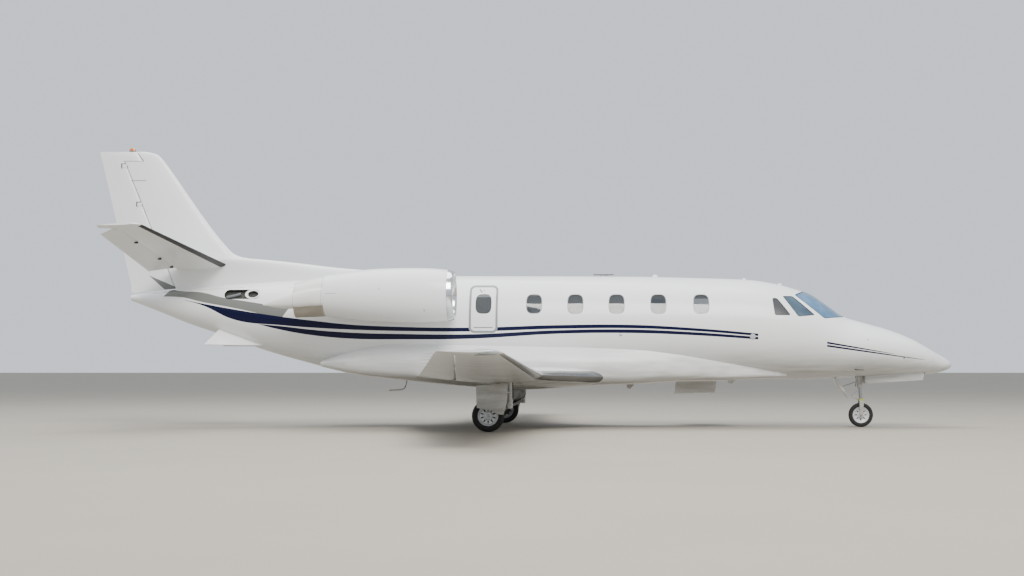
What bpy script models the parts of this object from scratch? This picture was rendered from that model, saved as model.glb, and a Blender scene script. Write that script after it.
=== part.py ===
# Business jet, parked on its gear with the airstair down.
# Frame: +X is forward, +Y is the port side, +Z is up, metres. The ground is z = 0
# and the origin is the middle of the outline seen from above.
import math

import bmesh
import bpy
from mathutils import Matrix, Vector

for old in list(bpy.data.objects):
    bpy.data.objects.remove(old, do_unlink=True)

# Driving dimensions
GAP = 0.0003            # seat between pieces that touch
CLEAR = 0.006           # play between a moving piece and what is round it
WALL = 0.10             # cabin wall, skin to lining
SPAN_HALF = 8.585
SEG = 28                # points round the fuselage
SHELL_FRONT = 6.05
SHELL_BACK = -1.50
NOSE_TIP = 7.98
FLOOR_TOP = 1.25
TRACK_HALF = 2.27
MAIN_X = -0.53
MAIN_R = 0.2795
MAIN_W = 0.20
NOSE_X = 6.29
NOSE_R = 0.2275
NOSE_W = 0.112
ENGINE_Y = 1.50
ENGINE_Z = 2.39
WINDOW_Z = 2.27
WINDOW_W = 0.281
WINDOW_H = 0.353
WINDOWS_STARBOARD = (0.20, 0.95, 1.70, 2.46, 3.24)
WINDOWS_PORT = (-0.72, 0.20, 0.95, 1.70, 2.46)
EXIT_X = (-0.946, -0.494)
EXIT_Z = (1.775, 2.587)
STAIR_X = (2.86, 3.67)
STAIR_Z = (1.305, 2.51)
STAIR_HINGE = (0.801, 1.368)
STAIR_OPEN = math.radians(138.0)
FLAP_Y = (1.42, 5.25)
AILERON_Y = (5.33, 8.20)
HINGE_CHORD = 0.735
BAY_X = (6.12, 7.47)
BAY_HALF = 0.19
ELEVATOR_DROOP = math.radians(22.0)
TAIL_SET = 0.05
BEACON_X = -7.371
TAIL_WALL = 0.08

# Fuselage stations: x, top z, bottom z, half width
STATIONS = (
    (7.98, 1.195, 1.135, 0.035),
    (7.93, 1.245, 1.085, 0.115),
    (7.70, 1.385, 1.015, 0.265),
    (7.48, 1.515, 0.990, 0.385),
    (7.21, 1.660, 0.985, 0.500),
    (6.80, 1.820, 0.970, 0.625),
    (6.36, 1.945, 0.950, 0.725),
    (6.05, 2.030, 0.932, 0.785),
    (5.97, 2.055, 0.928, 0.798),
    (5.65, 2.270, 0.912, 0.845),
    (5.32, 2.485, 0.904, 0.885),
    (5.02, 2.590, 0.900, 0.915),
    (4.64, 2.690, 0.897, 0.940),
    (4.14, 2.760, 0.895, 0.957),
    (3.30, 2.790, 0.895, 0.965),
    (1.80, 2.820, 0.895, 0.965),
    (-1.50, 2.830, 0.895, 0.965),
    (-2.60, 2.815, 0.930, 0.950),
    (-3.30, 2.790, 1.020, 0.905),
    (-4.10, 2.760, 1.215, 0.805),
    (-4.88, 2.720, 1.440, 0.670),
    (-5.60, 2.670, 1.700, 0.520),
    (-6.28, 2.610, 1.930, 0.375),
    (-6.90, 2.535, 2.180, 0.235),
    (-7.38, 2.480, 2.365, 0.085),
)


def paint(name, colour, metal=0.0, rough=0.4):
    mat = bpy.data.materials.new(name)
    mat.use_nodes = True
    bsdf = mat.node_tree.nodes["Principled BSDF"]
    bsdf.inputs["Base Color"].default_value = (*colour, 1.0)
    bsdf.inputs["Metallic"].default_value = metal
    bsdf.inputs["Roughness"].default_value = rough
    return mat


WHITE = (0.78, 0.78, 0.77)
GREY = (0.35, 0.36, 0.37)
METAL = (0.70, 0.70, 0.71)
DARK = (0.03, 0.03, 0.035)


def make(name, bm, colour=WHITE, metal=0.0, rough=0.4, origin=None, smooth=True):
    """Turn a bmesh into a named object with its own finish."""
    mesh = bpy.data.meshes.new(name)
    bm.to_mesh(mesh)
    bm.free()
    obj = bpy.data.objects.new(name, mesh)
    bpy.context.scene.collection.objects.link(obj)
    if origin is not None:
        mesh.transform(Matrix.Translation(-Vector(origin)))
        obj.location = origin
    mesh.materials.append(paint(name + "_finish", colour, metal, rough))
    if smooth:
        mesh.shade_smooth()
        mesh.set_sharp_from_angle(angle=math.radians(32.0))
    return obj


def loft(rings):
    """Closed body through rings that all have the same number of points."""
    bm = bmesh.new()
    rows = [[bm.verts.new(p) for p in ring] for ring in rings]
    count = len(rows[0])
    for a, b in zip(rows, rows[1:]):
        for i in range(count):
            j = (i + 1) % count
            quad = (a[i], a[j], b[j], b[i])
            side = (quad[1].co - quad[0].co).cross(quad[2].co - quad[0].co)
            if side.length > 0.0 and abs(side.normalized().dot(quad[3].co - quad[0].co)) > 2e-5:
                bm.faces.new((a[i], a[j], b[j]))
                bm.faces.new((a[i], b[j], b[i]))
            else:
                bm.faces.new(quad)
    bm.faces.new(rows[0])
    bm.faces.new(list(reversed(rows[-1])))
    bmesh.ops.recalc_face_normals(bm, faces=bm.faces[:])
    return bm


def prism(points, axis, low, high):
    """Flat outline drawn in two axes and run along the third between low and high."""
    rings = []
    for value in (low, high):
        ring = []
        for a, b in points:
            if axis == "X":
                ring.append((value, a, b))
            elif axis == "Y":
                ring.append((a, value, b))
            else:
                ring.append((a, b, value))
        rings.append(ring)
    return loft(rings)


def block(x, y, z):
    return prism(((x[0], y[0]), (x[1], y[0]), (x[1], y[1]), (x[0], y[1])), "Z", z[0], z[1])


def rod(start, end, radius, count=12, radius_end=None):
    """Round bar between two points."""
    start = Vector(start)
    end = Vector(end)
    along = (end - start).normalized()
    side = along.orthogonal().normalized()
    other = along.cross(side)
    rings = []
    for centre, r in ((start, radius), (end, radius_end or radius)):
        ring = []
        for i in range(count):
            t = 2.0 * math.pi * (i + 0.5) / count
            ring.append(centre + side * (r * math.cos(t)) + other * (r * math.sin(t)))
        rings.append(ring)
    return loft(rings)


def turned(profile, count, centre, axis="X", closed=True):
    """Spin a profile of (along, radius) pairs round an axis through centre.

    closed joins the last pair to the first for a ring; otherwise both ends lie on the axis.
    """
    bm = bmesh.new()
    centre = Vector(centre)
    rows = []
    for i in range(count):
        t = 2.0 * math.pi * (i + 0.5) / count
        row = []
        for along, radius in profile:
            if axis == "X":
                p = Vector((along, radius * math.cos(t), radius * math.sin(t)))
            else:
                p = Vector((radius * math.cos(t), along, radius * math.sin(t)))
            row.append(bm.verts.new(centre + p))
        rows.append(row)
    steps = len(profile) if closed else len(profile) - 1
    for i in range(count):
        a = rows[i]
        b = rows[(i + 1) % count]
        for k in range(steps):
            m = (k + 1) % len(profile)
            bm.faces.new((a[k], a[m], b[m], b[k]))
    if not closed:
        bmesh.ops.remove_doubles(bm, verts=bm.verts[:], dist=1e-7)
    bmesh.ops.recalc_face_normals(bm, faces=bm.faces[:])
    return bm


def scratch(bm):
    mesh = bpy.data.meshes.new("scratch")
    bm.to_mesh(mesh)
    obj = bpy.data.objects.new("scratch", mesh)
    bpy.context.scene.collection.objects.link(obj)
    return obj


def combine(base, tools, how):
    """Boolean of one bmesh with a list of others; gives the result as a bmesh."""
    target = scratch(base)
    made = [scratch(tool) for tool in tools]
    for tool in made:
        mod = target.modifiers.new("b", "BOOLEAN")
        mod.operation = how
        mod.solver = "EXACT"
        mod.object = tool
    graph = bpy.context.evaluated_depsgraph_get()
    result = bpy.data.meshes.new_from_object(target.evaluated_get(graph))
    bm = bmesh.new()
    bm.from_mesh(result)
    for obj in [target] + made:
        bpy.data.objects.remove(obj, do_unlink=True)
    bpy.data.meshes.remove(result)
    bmesh.ops.dissolve_degenerate(bm, edges=bm.edges[:], dist=1e-6)
    return bm


def cut(base, *tools):
    return combine(base, tools, "DIFFERENCE")


def join(base, *tools):
    return combine(base, tools, "UNION")


def meet(base, *tools):
    return combine(base, tools, "INTERSECT")


def mirrored(bm):
    """The same body on the other side of the plane y = 0."""
    twin = bm.copy()
    for v in twin.verts:
        v.co.y = -v.co.y
    bmesh.ops.reverse_faces(twin, faces=twin.faces[:])
    return twin


def station(x):
    """Top, bottom and half width of the fuselage at any x."""
    for a, b in zip(STATIONS, STATIONS[1:]):
        if b[0] <= x <= a[0]:
            f = (a[0] - x) / (a[0] - b[0])
            return tuple(a[i] + (b[i] - a[i]) * f for i in (1, 2, 3))
    return STATIONS[-1][1:]


def section(x, grow=0.0, count=SEG):
    top, low, half = station(x)
    mid = (top + low) / 2.0
    tall = (top - low) / 2.0 + grow
    wide = half + grow
    ring = []
    for i in range(count):
        t = 2.0 * math.pi * (i + 0.5) / count
        ring.append((x, wide * math.cos(t), mid + tall * math.sin(t)))
    return ring


def hull(front, back, grow=0.0):
    """Body of the fuselage between two stations, swelled by grow."""
    xs = [front] + [s[0] for s in STATIONS if back < s[0] < front] + [back]
    return loft([section(x, grow) for x in xs])


def skin_y(x, z):
    """Half width of the fuselage skin at a height."""
    top, low, half = station(x)
    rel = (z - (top + low) / 2.0) / ((top - low) / 2.0)
    return half * math.sqrt(max(0.0, 1.0 - rel * rel))


def window_outline(x, z, w, h, grow=0.0):
    """Cabin window: a tall rounded rectangle of 16 points."""
    pts = []
    for i in range(16):
        t = 2.0 * math.pi * (i + 0.5) / 16
        c = math.copysign(abs(math.cos(t)) ** 0.62, math.cos(t))
        s = math.copysign(abs(math.sin(t)) ** 0.62, math.sin(t))
        pts.append((x + (w / 2.0 + grow) * c, z + (h / 2.0 + grow) * s))
    return pts


def swell(points, grow):
    """Push an outline out from its middle by grow along the corner directions."""
    cx = sum(p[0] for p in points) / len(points)
    cz = sum(p[1] for p in points) / len(points)
    out = []
    for a, b in points:
        d = math.hypot(a - cx, b - cz)
        out.append((a + (a - cx) / d * grow, b + (b - cz) / d * grow))
    return out


# Cockpit panes drawn from the side; the windscreen runs on past the skin
PANE_SCREEN = ((4.985, 2.452), (5.38, 2.60), (6.02, 2.14), (5.93, 2.055), (5.50, 2.015))
PANE_SIDE = ((4.75, 2.42), (4.93, 2.42), (5.31, 2.075), (5.01, 2.045))
PANE_REAR = ((4.55, 2.38), (4.63, 2.38), (4.86, 2.07), (4.58, 2.07))


def cockpit_prisms(grow):
    out = []
    for sign in (1.0, -1.0):
        for pane, inner in ((PANE_SCREEN, 0.028), (PANE_SIDE, 0.35), (PANE_REAR, 0.35)):
            y = sorted((sign * (inner - grow), sign * 1.3))
            out.append(prism(swell(pane, grow), "Y", y[0], y[1]))
    return out


def cabin_prisms(sign, grow):
    out = []
    xs = WINDOWS_PORT if sign > 0 else WINDOWS_STARBOARD
    for x in xs:
        y = sorted((sign * 0.5, sign * 1.3))
        out.append(prism(window_outline(x, WINDOW_Z, WINDOW_W, WINDOW_H, grow), "Y", y[0], y[1]))
    return out


# Fuselage: pressure cabin and cockpit as one hollow shell
inside = hull(SHELL_FRONT - WALL, SHELL_BACK + WALL, -WALL)
stair_hole = block(STAIR_X, (0.3, 1.3), STAIR_Z)
exit_hole = block((EXIT_X[0] - GAP, EXIT_X[1] + GAP), (-1.3, -0.3), (EXIT_Z[0] - GAP, EXIT_Z[1] + GAP))
shell = cut(hull(SHELL_FRONT, SHELL_BACK), inside)
shell = cut(shell, stair_hole, exit_hole, *cockpit_prisms(GAP))
shell = cut(shell, *cabin_prisms(1.0, GAP), *cabin_prisms(-1.0, GAP))
make("fuselage_shell", shell)

# Cockpit panes and, per side, cabin panes, each set carried by a frame inside the wall
PANE_IN = WALL + 0.014
frame_zone = prism(((4.42, 1.95), (4.42, 2.90), (5.94, 2.90), (5.94, 1.90)), "Y", -1.3, 1.3)
glazing = meet(hull(SHELL_FRONT - WALL, SHELL_BACK + WALL, -WALL - GAP), frame_zone)
for pane in cockpit_prisms(0.0):
    glazing = join(glazing, meet(pane, hull(6.00, 4.40, -0.006)))
glazing = cut(glazing, hull(6.02, 4.30, -PANE_IN))
make("cockpit_glazing", glazing, (0.05, 0.08, 0.10), 0.0, 0.05)

for tag, sign, first, last in (("L", 1.0, -0.95, 2.70), ("R", -1.0, 0.0, 3.48)):
    y = sorted((sign * 0.5, sign * 1.3))
    belt = meet(hull(SHELL_FRONT - WALL, SHELL_BACK + WALL, -WALL - GAP), block((first, last), y, (2.05, 2.49)))
    for pane in cabin_prisms(sign, 0.0):
        belt = join(belt, meet(pane, hull(3.6, -1.2, -0.006)))
    belt = cut(belt, hull(3.7, -1.3, -PANE_IN))
    make("window_belt_" + tag, belt, (0.05, 0.08, 0.10), 0.0, 0.05)

# Escape hatch, starboard
hatch = meet(hull(SHELL_FRONT, SHELL_BACK), block(EXIT_X, (-1.3, -0.3), EXIT_Z))
hatch = cut(hatch, hull(SHELL_FRONT - WALL, SHELL_BACK + WALL, -WALL))
make("exit_hatch", hatch)

# Nose section with the open nose gear bay
nose = hull(NOSE_TIP, SHELL_FRONT + GAP)
bay = block(BAY_X, (-BAY_HALF, BAY_HALF), (0.5, 1.42))
make("nose_section", cut(nose, bay))


# Wing: stations of y, leading edge x, trailing edge x, chord line z, thickness over chord
WING = (
    (0.70, 1.62, -1.95, 0.930, 0.100),
    (1.05, 1.42, -1.90, 0.945, 0.104),
    (1.45, 1.03, -1.855, 0.957, 0.110),
    (1.95, 0.63, -1.775, 0.969, 0.118),
    (2.50, 0.39, -1.690, 0.985, 0.122),
    (8.30, 0.105, -0.785, 1.295, 0.100),
    (8.50, 0.060, -0.750, 1.306, 0.085),
    (SPAN_HALF, -0.08, -0.70, 1.310, 0.050),
)
FOIL = (0.0, 0.012, 0.05, 0.13, 0.26, 0.42, 0.60, HINGE_CHORD, 0.88, 1.0)


def half_thick(c, thick):
    """Half thickness of a symmetric section, with a blunt 2 mm edge at the back."""
    root = math.sqrt(c)
    body = 0.2969 * root - 0.1260 * c - 0.3516 * c * c + 0.2843 * c ** 3 - 0.1036 * c ** 4
    return 5.0 * thick * body


def between(table, y):
    for a, b in zip(table, table[1:]):
        if a[0] <= y <= b[0]:
            f = (y - a[0]) / (b[0] - a[0])
            return tuple(a[i] + (b[i] - a[i]) * f for i in range(1, len(a)))
    raise ValueError(y)


def foil_ring(lead, trail, thick, grow=0.0):
    """Section outline as (x, height) pairs round from the trailing edge over the top."""
    chord = lead - trail
    upper = []
    lower = []
    for c in FOIL:
        h = half_thick(c, thick) * chord + grow
        h = max(h, 0.002 + grow)
        x = lead - c * chord
        if c == 0.0:
            x += grow
        if c == 1.0:
            x -= grow
        upper.append((x, h))
        lower.append((x, -h))
    return list(reversed(upper)) + lower


def wing_body(grow=0.0, start=None):
    rings = []
    for y, lead, trail, z, thick in WING:
        if start is not None and y < start:
            continue
        ring = foil_ring(lead, trail, thick, grow)
        shift = -grow if y == WING[0][0] else 0.0
        rings.append([(x, y + shift, z + h) for x, h in ring])
    return loft(rings)


def hinge_at(y):
    """Point of the flap and aileron hinge line, and the nose radius there."""
    lead, trail, z, thick = between(WING, y)
    chord = lead - trail
    return lead - HINGE_CHORD * chord, z, half_thick(HINGE_CHORD, thick) * chord


def flap_body(low, high):
    """Rear part of the section with a round nose about the hinge line, and end pins."""
    rings = []
    for y in (low + CLEAR, high - CLEAR):
        lead, trail, z, thick = between(WING, y)
        hx, hz, r = hinge_at(y)
        ring = []
        for i in range(7):
            t = math.radians(90.0 - 30.0 * i)
            ring.append((hx + r * math.cos(t), y, hz + r * math.sin(t)))
        chord = lead - trail
        h = half_thick(0.88, thick) * chord
        ring.append((lead - 0.88 * chord, y, z - h))
        ring.append((trail, y, z - 0.003))
        ring.append((trail, y, z + 0.003))
        ring.append((lead - 0.88 * chord, y, z + h))
        rings.append(ring)
    body = loft(rings)
    pins = []
    start = Vector(hinge_at(max(low, 2.5))[:2])
    end = Vector(hinge_at(high)[:2])
    for root, tip in ((low + 0.05, low + 2.0 * GAP), (high - 0.05, high - 2.0 * GAP)):
        ax, az = start.lerp(end, (root - max(low, 2.5)) / (high - max(low, 2.5)))
        bx, bz = start.lerp(end, (tip - max(low, 2.5)) / (high - max(low, 2.5)))
        pins.append(rod((ax, root, az), (bx, tip, bz), 0.010, 8, 0.002))
    return join(body, *pins)


def flap_slot(low, high):
    """What is taken out of the wing behind the hinge line."""
    rings = []
    for y in (low, high):
        hx, hz, r = hinge_at(y)
        x = hx + r + CLEAR
        rings.append([(x, y, hz + 0.4), (x, y, hz - 0.4), (x - 2.5, y, hz - 0.4), (x - 2.5, y, hz + 0.4)])
    return loft(rings)


def leg_hole(grow):
    return rod((-0.16, TRACK_HALF, 0.5), (-0.16, TRACK_HALF, 1.03 + grow), 0.05 + grow, 16)


well = join(
    rod((-0.52, 1.42, 0.3), (-0.52, 1.42, 0.985), 0.33, 20),
    block((-0.36, 0.03), (1.30, 2.42), (0.3, 0.965)),
)
jack_pad = rod((-0.84, 2.75, 0.870), (-0.84, 2.75, 0.95), 0.030, 16)
wing = cut(join(wing_body(), jack_pad), flap_slot(*FLAP_Y), flap_slot(*AILERON_Y), well)
wing = cut(wing, leg_hole(GAP))
make("wing_L", wing.copy())
make("wing_R", mirrored(wing))
for name, low, high in (("flap", *FLAP_Y), ("aileron", *AILERON_Y)):
    for tag in ("L", "R"):
        body = flap_body(low, high)
        y = low
        hx, hz, r = hinge_at(y)
        if tag == "R":
            body = mirrored(body)
        make(name + "_" + tag, body, origin=(hx, y if tag == "L" else -y, hz))

# Belly fairing: x, lower z, upper edge z, half width
FAIRING = (
    (4.85, 0.935, 1.000, 0.30),
    (4.33, 0.905, 1.090, 0.56),
    (3.61, 0.868, 1.215, 0.74),
    (2.865, 0.856, 1.340, 0.86),
    (2.12, 0.810, 1.430, 0.965),
    (1.20, 0.775, 1.470, 1.030),
    (0.00, 0.712, 1.500, 1.045),
    (-1.20, 0.780, 1.520, 1.045),
    (-2.37, 0.895, 1.535, 1.020),
    (-3.06, 0.975, 1.430, 0.955),
    (-3.70, 1.120, 1.260, 0.780),
)
rings = []
for x, low, high, half in FAIRING:
    edge = skin_y(x, high) + 0.004
    half = max(half, edge)
    tall = high - low
    right = [
        (x, 0.50 * half, low),
        (x, 0.80 * half, low + 0.05 * tall),
        (x, 0.95 * half, low + 0.17 * tall),
        (x, half, low + 0.38 * tall),
        (x, half, low + 0.62 * tall),
        (x, (half + edge) / 2.0, low + 0.84 * tall),
        (x, edge, high),
        (x, edge - 0.10, high + 0.002),
    ]
    left = [(p[0], -p[1], p[2]) for p in reversed(right)]
    rings.append(right + left)
fairing = cut(loft(rings), hull(NOSE_TIP, STATIONS[-1][0], GAP))
stair_room = block((STAIR_X[0] - 0.02, STAIR_X[1] + 0.02), (0.70, 1.4), (0.7, 1.7))
fairing = cut(fairing, wing_body(GAP), mirrored(wing_body(GAP)), well, mirrored(well), stair_room)
make("belly_fairing", fairing)

# Fin with its dorsal root: height, leading edge x, thickness over chord
FIN = (
    (2.45, -1.95, 0.058),
    (2.84, -1.95, 0.058),
    (2.91, -2.60, 0.062),
    (2.99, -3.55, 0.072),
    (3.07, -4.23, 0.084),
    (3.12, -4.69, 0.094),
    (3.17, -5.24, 0.106),
    (3.24, -5.46, 0.112),
    (3.36, -5.59, 0.112),
    (3.86, -5.99, 0.110),
    (4.30, -6.30, 0.107),
    (4.89, -6.71, 0.102),
    (5.08, -6.86, 0.098),
    (5.16, -7.06, 0.080),
)
RUDDER_LOW = Vector((-6.61, 0.0, 2.60))
RUDDER_HIGH = Vector((-7.53, 0.0, 4.915))
RUDDER_AXIS = (RUDDER_HIGH - RUDDER_LOW).normalized()
RUDDER_SLOPE = (RUDDER_HIGH.x - RUDDER_LOW.x) / (RUDDER_HIGH.z - RUDDER_LOW.z)
RUDDER_TRAIL = (-7.365, 2.52, -7.98, 5.16)


def rudder_x(z):
    return RUDDER_LOW.x + RUDDER_SLOPE * (z - RUDDER_LOW.z)


def fin_trail(z):
    a, b, c, d = RUDDER_TRAIL
    return a + (c - a) * (z - b) / (d - b)


def fin_chord(z):
    """Leading edge x, trailing edge x of fin and rudder together, and thickness ratio."""
    for a, b in zip(FIN, FIN[1:]):
        if a[0] <= z <= b[0]:
            f = (z - a[0]) / (b[0] - a[0])
            lead = a[1] + (b[1] - a[1]) * f
            return lead, fin_trail(z), a[2] + (b[2] - a[2]) * f
    return FIN[0][1], fin_trail(z), FIN[0][2]


def fin_half(x, z):
    lead, trail, thick = fin_chord(z)
    chord = lead - trail
    c = min(1.0, max(0.0, (lead - x) / chord))
    return max(0.002, half_thick(c, thick) * chord)


FIN_STEPS = (0.0, 0.015, 0.06, 0.16, 0.32, 0.52, 0.76, 1.0)


def fin_body(grow=0.0):
    """Fin from leading edge to the face ahead of the rudder."""
    rings = []
    for z, lead, thick in FIN:
        back = rudder_x(z) + 0.075
        port = []
        for c in FIN_STEPS:
            x = lead + (back - lead) * c
            h = fin_half(x, z) + grow
            if c == 0.0:
                x += grow
            if c == 1.0:
                x -= grow
            port.append((x, h))
        ring = [(x, h, z - (grow if z == FIN[0][0] else 0.0)) for x, h in port]
        ring += [(x, -h, z - (grow if z == FIN[0][0] else 0.0)) for x, h in reversed(port)]
        rings.append(ring)
    return loft(rings)


# Rudder: round nose about the hinge line, horn balance over the fin's top
def rudder_body():
    rings = []
    for z in (2.59, 3.40, 4.20, 4.99):
        hx = rudder_x(z)
        r = fin_half(hx, z)
        port = []
        for i in range(4):
            t = math.radians(30.0 * i)
            port.append((hx + r * math.cos(t), max(0.001, r * math.sin(t))))
        trail = fin_trail(z)
        for c in (0.55, 1.0):
            x = hx + (trail - hx) * c
            port.append((x, fin_half(x, z) if c < 1.0 else 0.004))
        tilt = -0.085 if z == 2.59 else 0.0
        ring = []
        for x, h in port:
            drop = tilt * (hx - x) / (hx - trail)
            ring.append((x, h, z + drop))
        ring += [(x, -h, zz) for x, h, zz in reversed(ring)]
        rings.append(ring)
    body = loft(rings)
    rings = []
    for z, front in ((4.985, -7.155), (5.08, -7.215), (5.16, -7.275)):
        port = []
        trail = fin_trail(z)
        for c in (0.0, 0.04, 0.3, 0.65, 1.0):
            x = front + (trail - front) * c
            h = fin_half(x, z) * (0.3 if c == 0.0 else 1.0)
            port.append((x, h if c < 1.0 else 0.004))
        ring = [(x, h, z) for x, h in port] + [(x, -h, z) for x, h in reversed(port)]
        rings.append(ring)
    horn = loft(rings)
    foot = RUDDER_LOW - RUDDER_AXIS * 0.09
    pin = rod(foot, RUDDER_LOW + RUDDER_AXIS * 0.06, 0.0130, 10)
    return join(body, horn, pin)


# Tailplane: y, leading edge x, trailing edge x, chord line z, thickness ratio
TAIL = (
    (0.00, -5.566, -6.96, 3.020, 0.090),
    (0.60, -5.693, -6.96, 3.109, 0.092),
    (3.10, -6.220, -6.97, 3.477, 0.095),
    (3.22, -6.270, -6.965, 3.493, 0.080),
    (3.27, -6.380, -6.930, 3.497, 0.060),
)
ELEVATOR_Y = (0.20, 3.08)
ELEVATOR_HINGE = ((-6.53, 0.0), (-6.665, 3.10))


def elevator_hinge(y):
    (x0, y0), (x1, y1) = ELEVATOR_HINGE
    x = x0 + (x1 - x0) * (y - y0) / (y1 - y0)
    lead, trail, z, thick = between(TAIL, abs(y))
    chord = lead - trail
    return x, z - TAIL_SET * (lead - x), half_thick((lead - x) / chord, thick) * chord


def tail_rings(grow):
    rings = []
    for y, lead, trail, z, thick in TAIL:
        ring = foil_ring(lead, trail, thick, grow)
        rings.append([(x, y, z + h - TAIL_SET * (lead - x)) for x, h in ring])
    port = rings[1:]
    starboard = [[(x, -y, z) for x, y, z in ring] for ring in reversed(port)]
    return starboard + [rings[0]] + port


def tail_slot(sign, grow=0.0):
    """Room behind the hinge line; inboard it runs through to the fin."""
    rings = []
    for y in (-0.002, ELEVATOR_Y[1]):
        hx, hz, r = elevator_hinge(y)
        x = hx + r + CLEAR - grow
        ring = [(x, y, hz + 0.35), (x, y, hz - 0.35), (x - 1.5, y, hz - 0.35), (x - 1.5, y, hz + 0.35)]
        rings.append(ring)
    body = loft(rings)
    return body if sign > 0 else mirrored(body)


def tailplane_body(grow=0.0):
    return cut(loft(tail_rings(grow)), tail_slot(1.0, grow), tail_slot(-1.0, grow))


def elevator_body():
    rings = []
    low, high = ELEVATOR_Y
    for y, trail_y in ((low, 0.47), (0.85, 0.85), (high - CLEAR, high - CLEAR)):
        hx, hz, r = elevator_hinge(y)
        ring = []
        for i in range(7):
            t = math.radians(90.0 - 30.0 * i)
            ring.append((hx + r * math.cos(t), y, hz + r * math.sin(t)))
        lead, trail, z, thick = between(TAIL, trail_y)
        tx, tz, tr = elevator_hinge(trail_y)
        long = tx - trail
        dx = -long * math.cos(ELEVATOR_DROOP)
        dz = -long * math.sin(ELEVATOR_DROOP)
        ring.append((tx + dx, trail_y, tz + dz - 0.003))
        ring.append((tx + dx, trail_y, tz + dz + 0.003))
        rings.append(ring)
    body = loft(rings)
    ax, az, r = elevator_hinge(0.045)
    bx, bz, r = elevator_hinge(0.30)
    cx, cz, r = elevator_hinge(high - 0.05)
    ex, ez, r = elevator_hinge(high - 2.0 * GAP)
    inner = rod((ax, 0.045, az), (bx, 0.30, bz), 0.0105, 8)
    outer = rod((cx, high - 0.05, cz), (ex, high - 2.0 * GAP, ez), 0.008, 8, 0.002)
    return join(body, inner, outer)


def elevator_socket(sign):
    ax, az, r = elevator_hinge(0.040)
    bx, bz, r = elevator_hinge(0.40)
    return rod((ax, sign * 0.040, az), (bx, sign * 0.40, bz), 0.012 + GAP, 8)


fin = cut(fin_body(), tailplane_body(GAP))
horn_room = prism(((-7.359, 5.3), (-7.136, 4.975), (-8.2, 4.975), (-8.2, 5.3)), "Y", -0.3, 0.3)
fin = cut(fin, horn_room, elevator_socket(1.0), elevator_socket(-1.0))
make("fin", fin)
make("rudder", rudder_body(), origin=tuple(RUDDER_LOW))
make("tailplane", tailplane_body())
for tag, sign in (("L", 1.0), ("R", -1.0)):
    body = elevator_body()
    if sign < 0:
        body = mirrored(body)
    hx, hz, r = elevator_hinge(ELEVATOR_Y[0])
    make("elevator_" + tag, body, origin=(hx, sign * ELEVATOR_Y[0], hz))

# Tail section: hollow aft fuselage, with the seat of the fin let into its back
tail = cut(hull(SHELL_BACK - GAP, STATIONS[-1][0]), hull(SHELL_BACK + 0.05, -6.20, -TAIL_WALL), fin_body(GAP))
foot = RUDDER_LOW - RUDDER_AXIS * (0.09 + GAP)
tail = cut(tail, rod(foot, RUDDER_LOW + RUDDER_AXIS * 0.1, 0.014 + GAP, 10))
make("tail_section", tail)

# Strakes: canted fins under the tail
for tag, sign in (("L", 1.0), ("R", -1.0)):
    a = Vector((-4.55, sign * 0.28, 1.52))
    b = Vector((-5.85, sign * 0.70, 1.53))
    c = Vector((-5.62, sign * 0.20, 1.90))
    d = Vector((-4.70, sign * 0.14, 1.72))
    side = Vector((0.0, 0.62 * sign, 0.78)).normalized() * 0.011
    outline = [a, b, c, d]
    strake = loft([[p + side for p in outline], [p - side for p in outline]])
    make("strake_" + tag, cut(strake, hull(SHELL_BACK, STATIONS[-1][0], GAP)))

# Engines: cowl with its rolled lip, core block, fan, nozzle with stang fairings, pylon
COWL = (
    (-1.180, 0.405), (-1.200, 0.432), (-1.290, 0.452), (-1.600, 0.482), (-2.050, 0.488),
    (-2.600, 0.470), (-3.050, 0.425), (-3.470, 0.362), (-3.470, 0.335), (-2.400, 0.385),
    (-1.700, 0.375), (-1.350, 0.352), (-1.215, 0.372),
)
CORE = ((-1.960, 0.0), (-1.960, 0.3784), (-2.060, 0.3798), (-2.160, 0.300), (-3.300, 0.235), (-3.700, 0.0))
FAN_X = (-1.80, -1.88)
BLADES = 18


def nacelle_body():
    return turned(COWL, 24, (0.0, ENGINE_Y, ENGINE_Z))


def nacelle_solid(grow):
    profile = [(-1.15, 0.0)] + [(x, r + grow) for x, r in COWL[:8]] + [(-3.50, 0.0)]
    return turned(profile, 24, (0.0, ENGINE_Y, ENGINE_Z), closed=False)


def fan_body():
    """Spinner, disc and twisted blades as one body."""
    hub = turned(
        ((-1.55, 0.0), (-1.62, 0.050), (-1.76, 0.105), (-1.92, 0.115), (-1.92, 0.030), (-1.9597, 0.030), (-1.9597, 0.0)),
        18, (0.0, ENGINE_Y, ENGINE_Z), closed=False,
    )
    blades = []
    for i in range(BLADES):
        t = 2.0 * math.pi * i / BLADES
        spin = Matrix.Rotation(t, 3, "X")
        rings = []
        for radius, lean, chord in ((0.08, 0.35, 0.050), (0.23, 0.75, 0.058), (0.362, 1.02, 0.060)):
            dx = 0.5 * chord * math.cos(lean)
            dy = 0.5 * chord * math.sin(lean)
            nx = 0.004 * math.sin(lean)
            ny = -0.004 * math.cos(lean)
            ring = []
            for ex, ey in ((dx + nx, dy + ny), (-dx + nx, -dy + ny), (-dx - nx, -dy - ny), (dx - nx, dy - ny)):
                p = spin @ Vector((0.0, ey, radius))
                ring.append((-1.84 + ex, ENGINE_Y + p.y, ENGINE_Z + p.z))
            rings.append(ring)
        blades.append(loft(rings))
    return join(hub, *blades)


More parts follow.
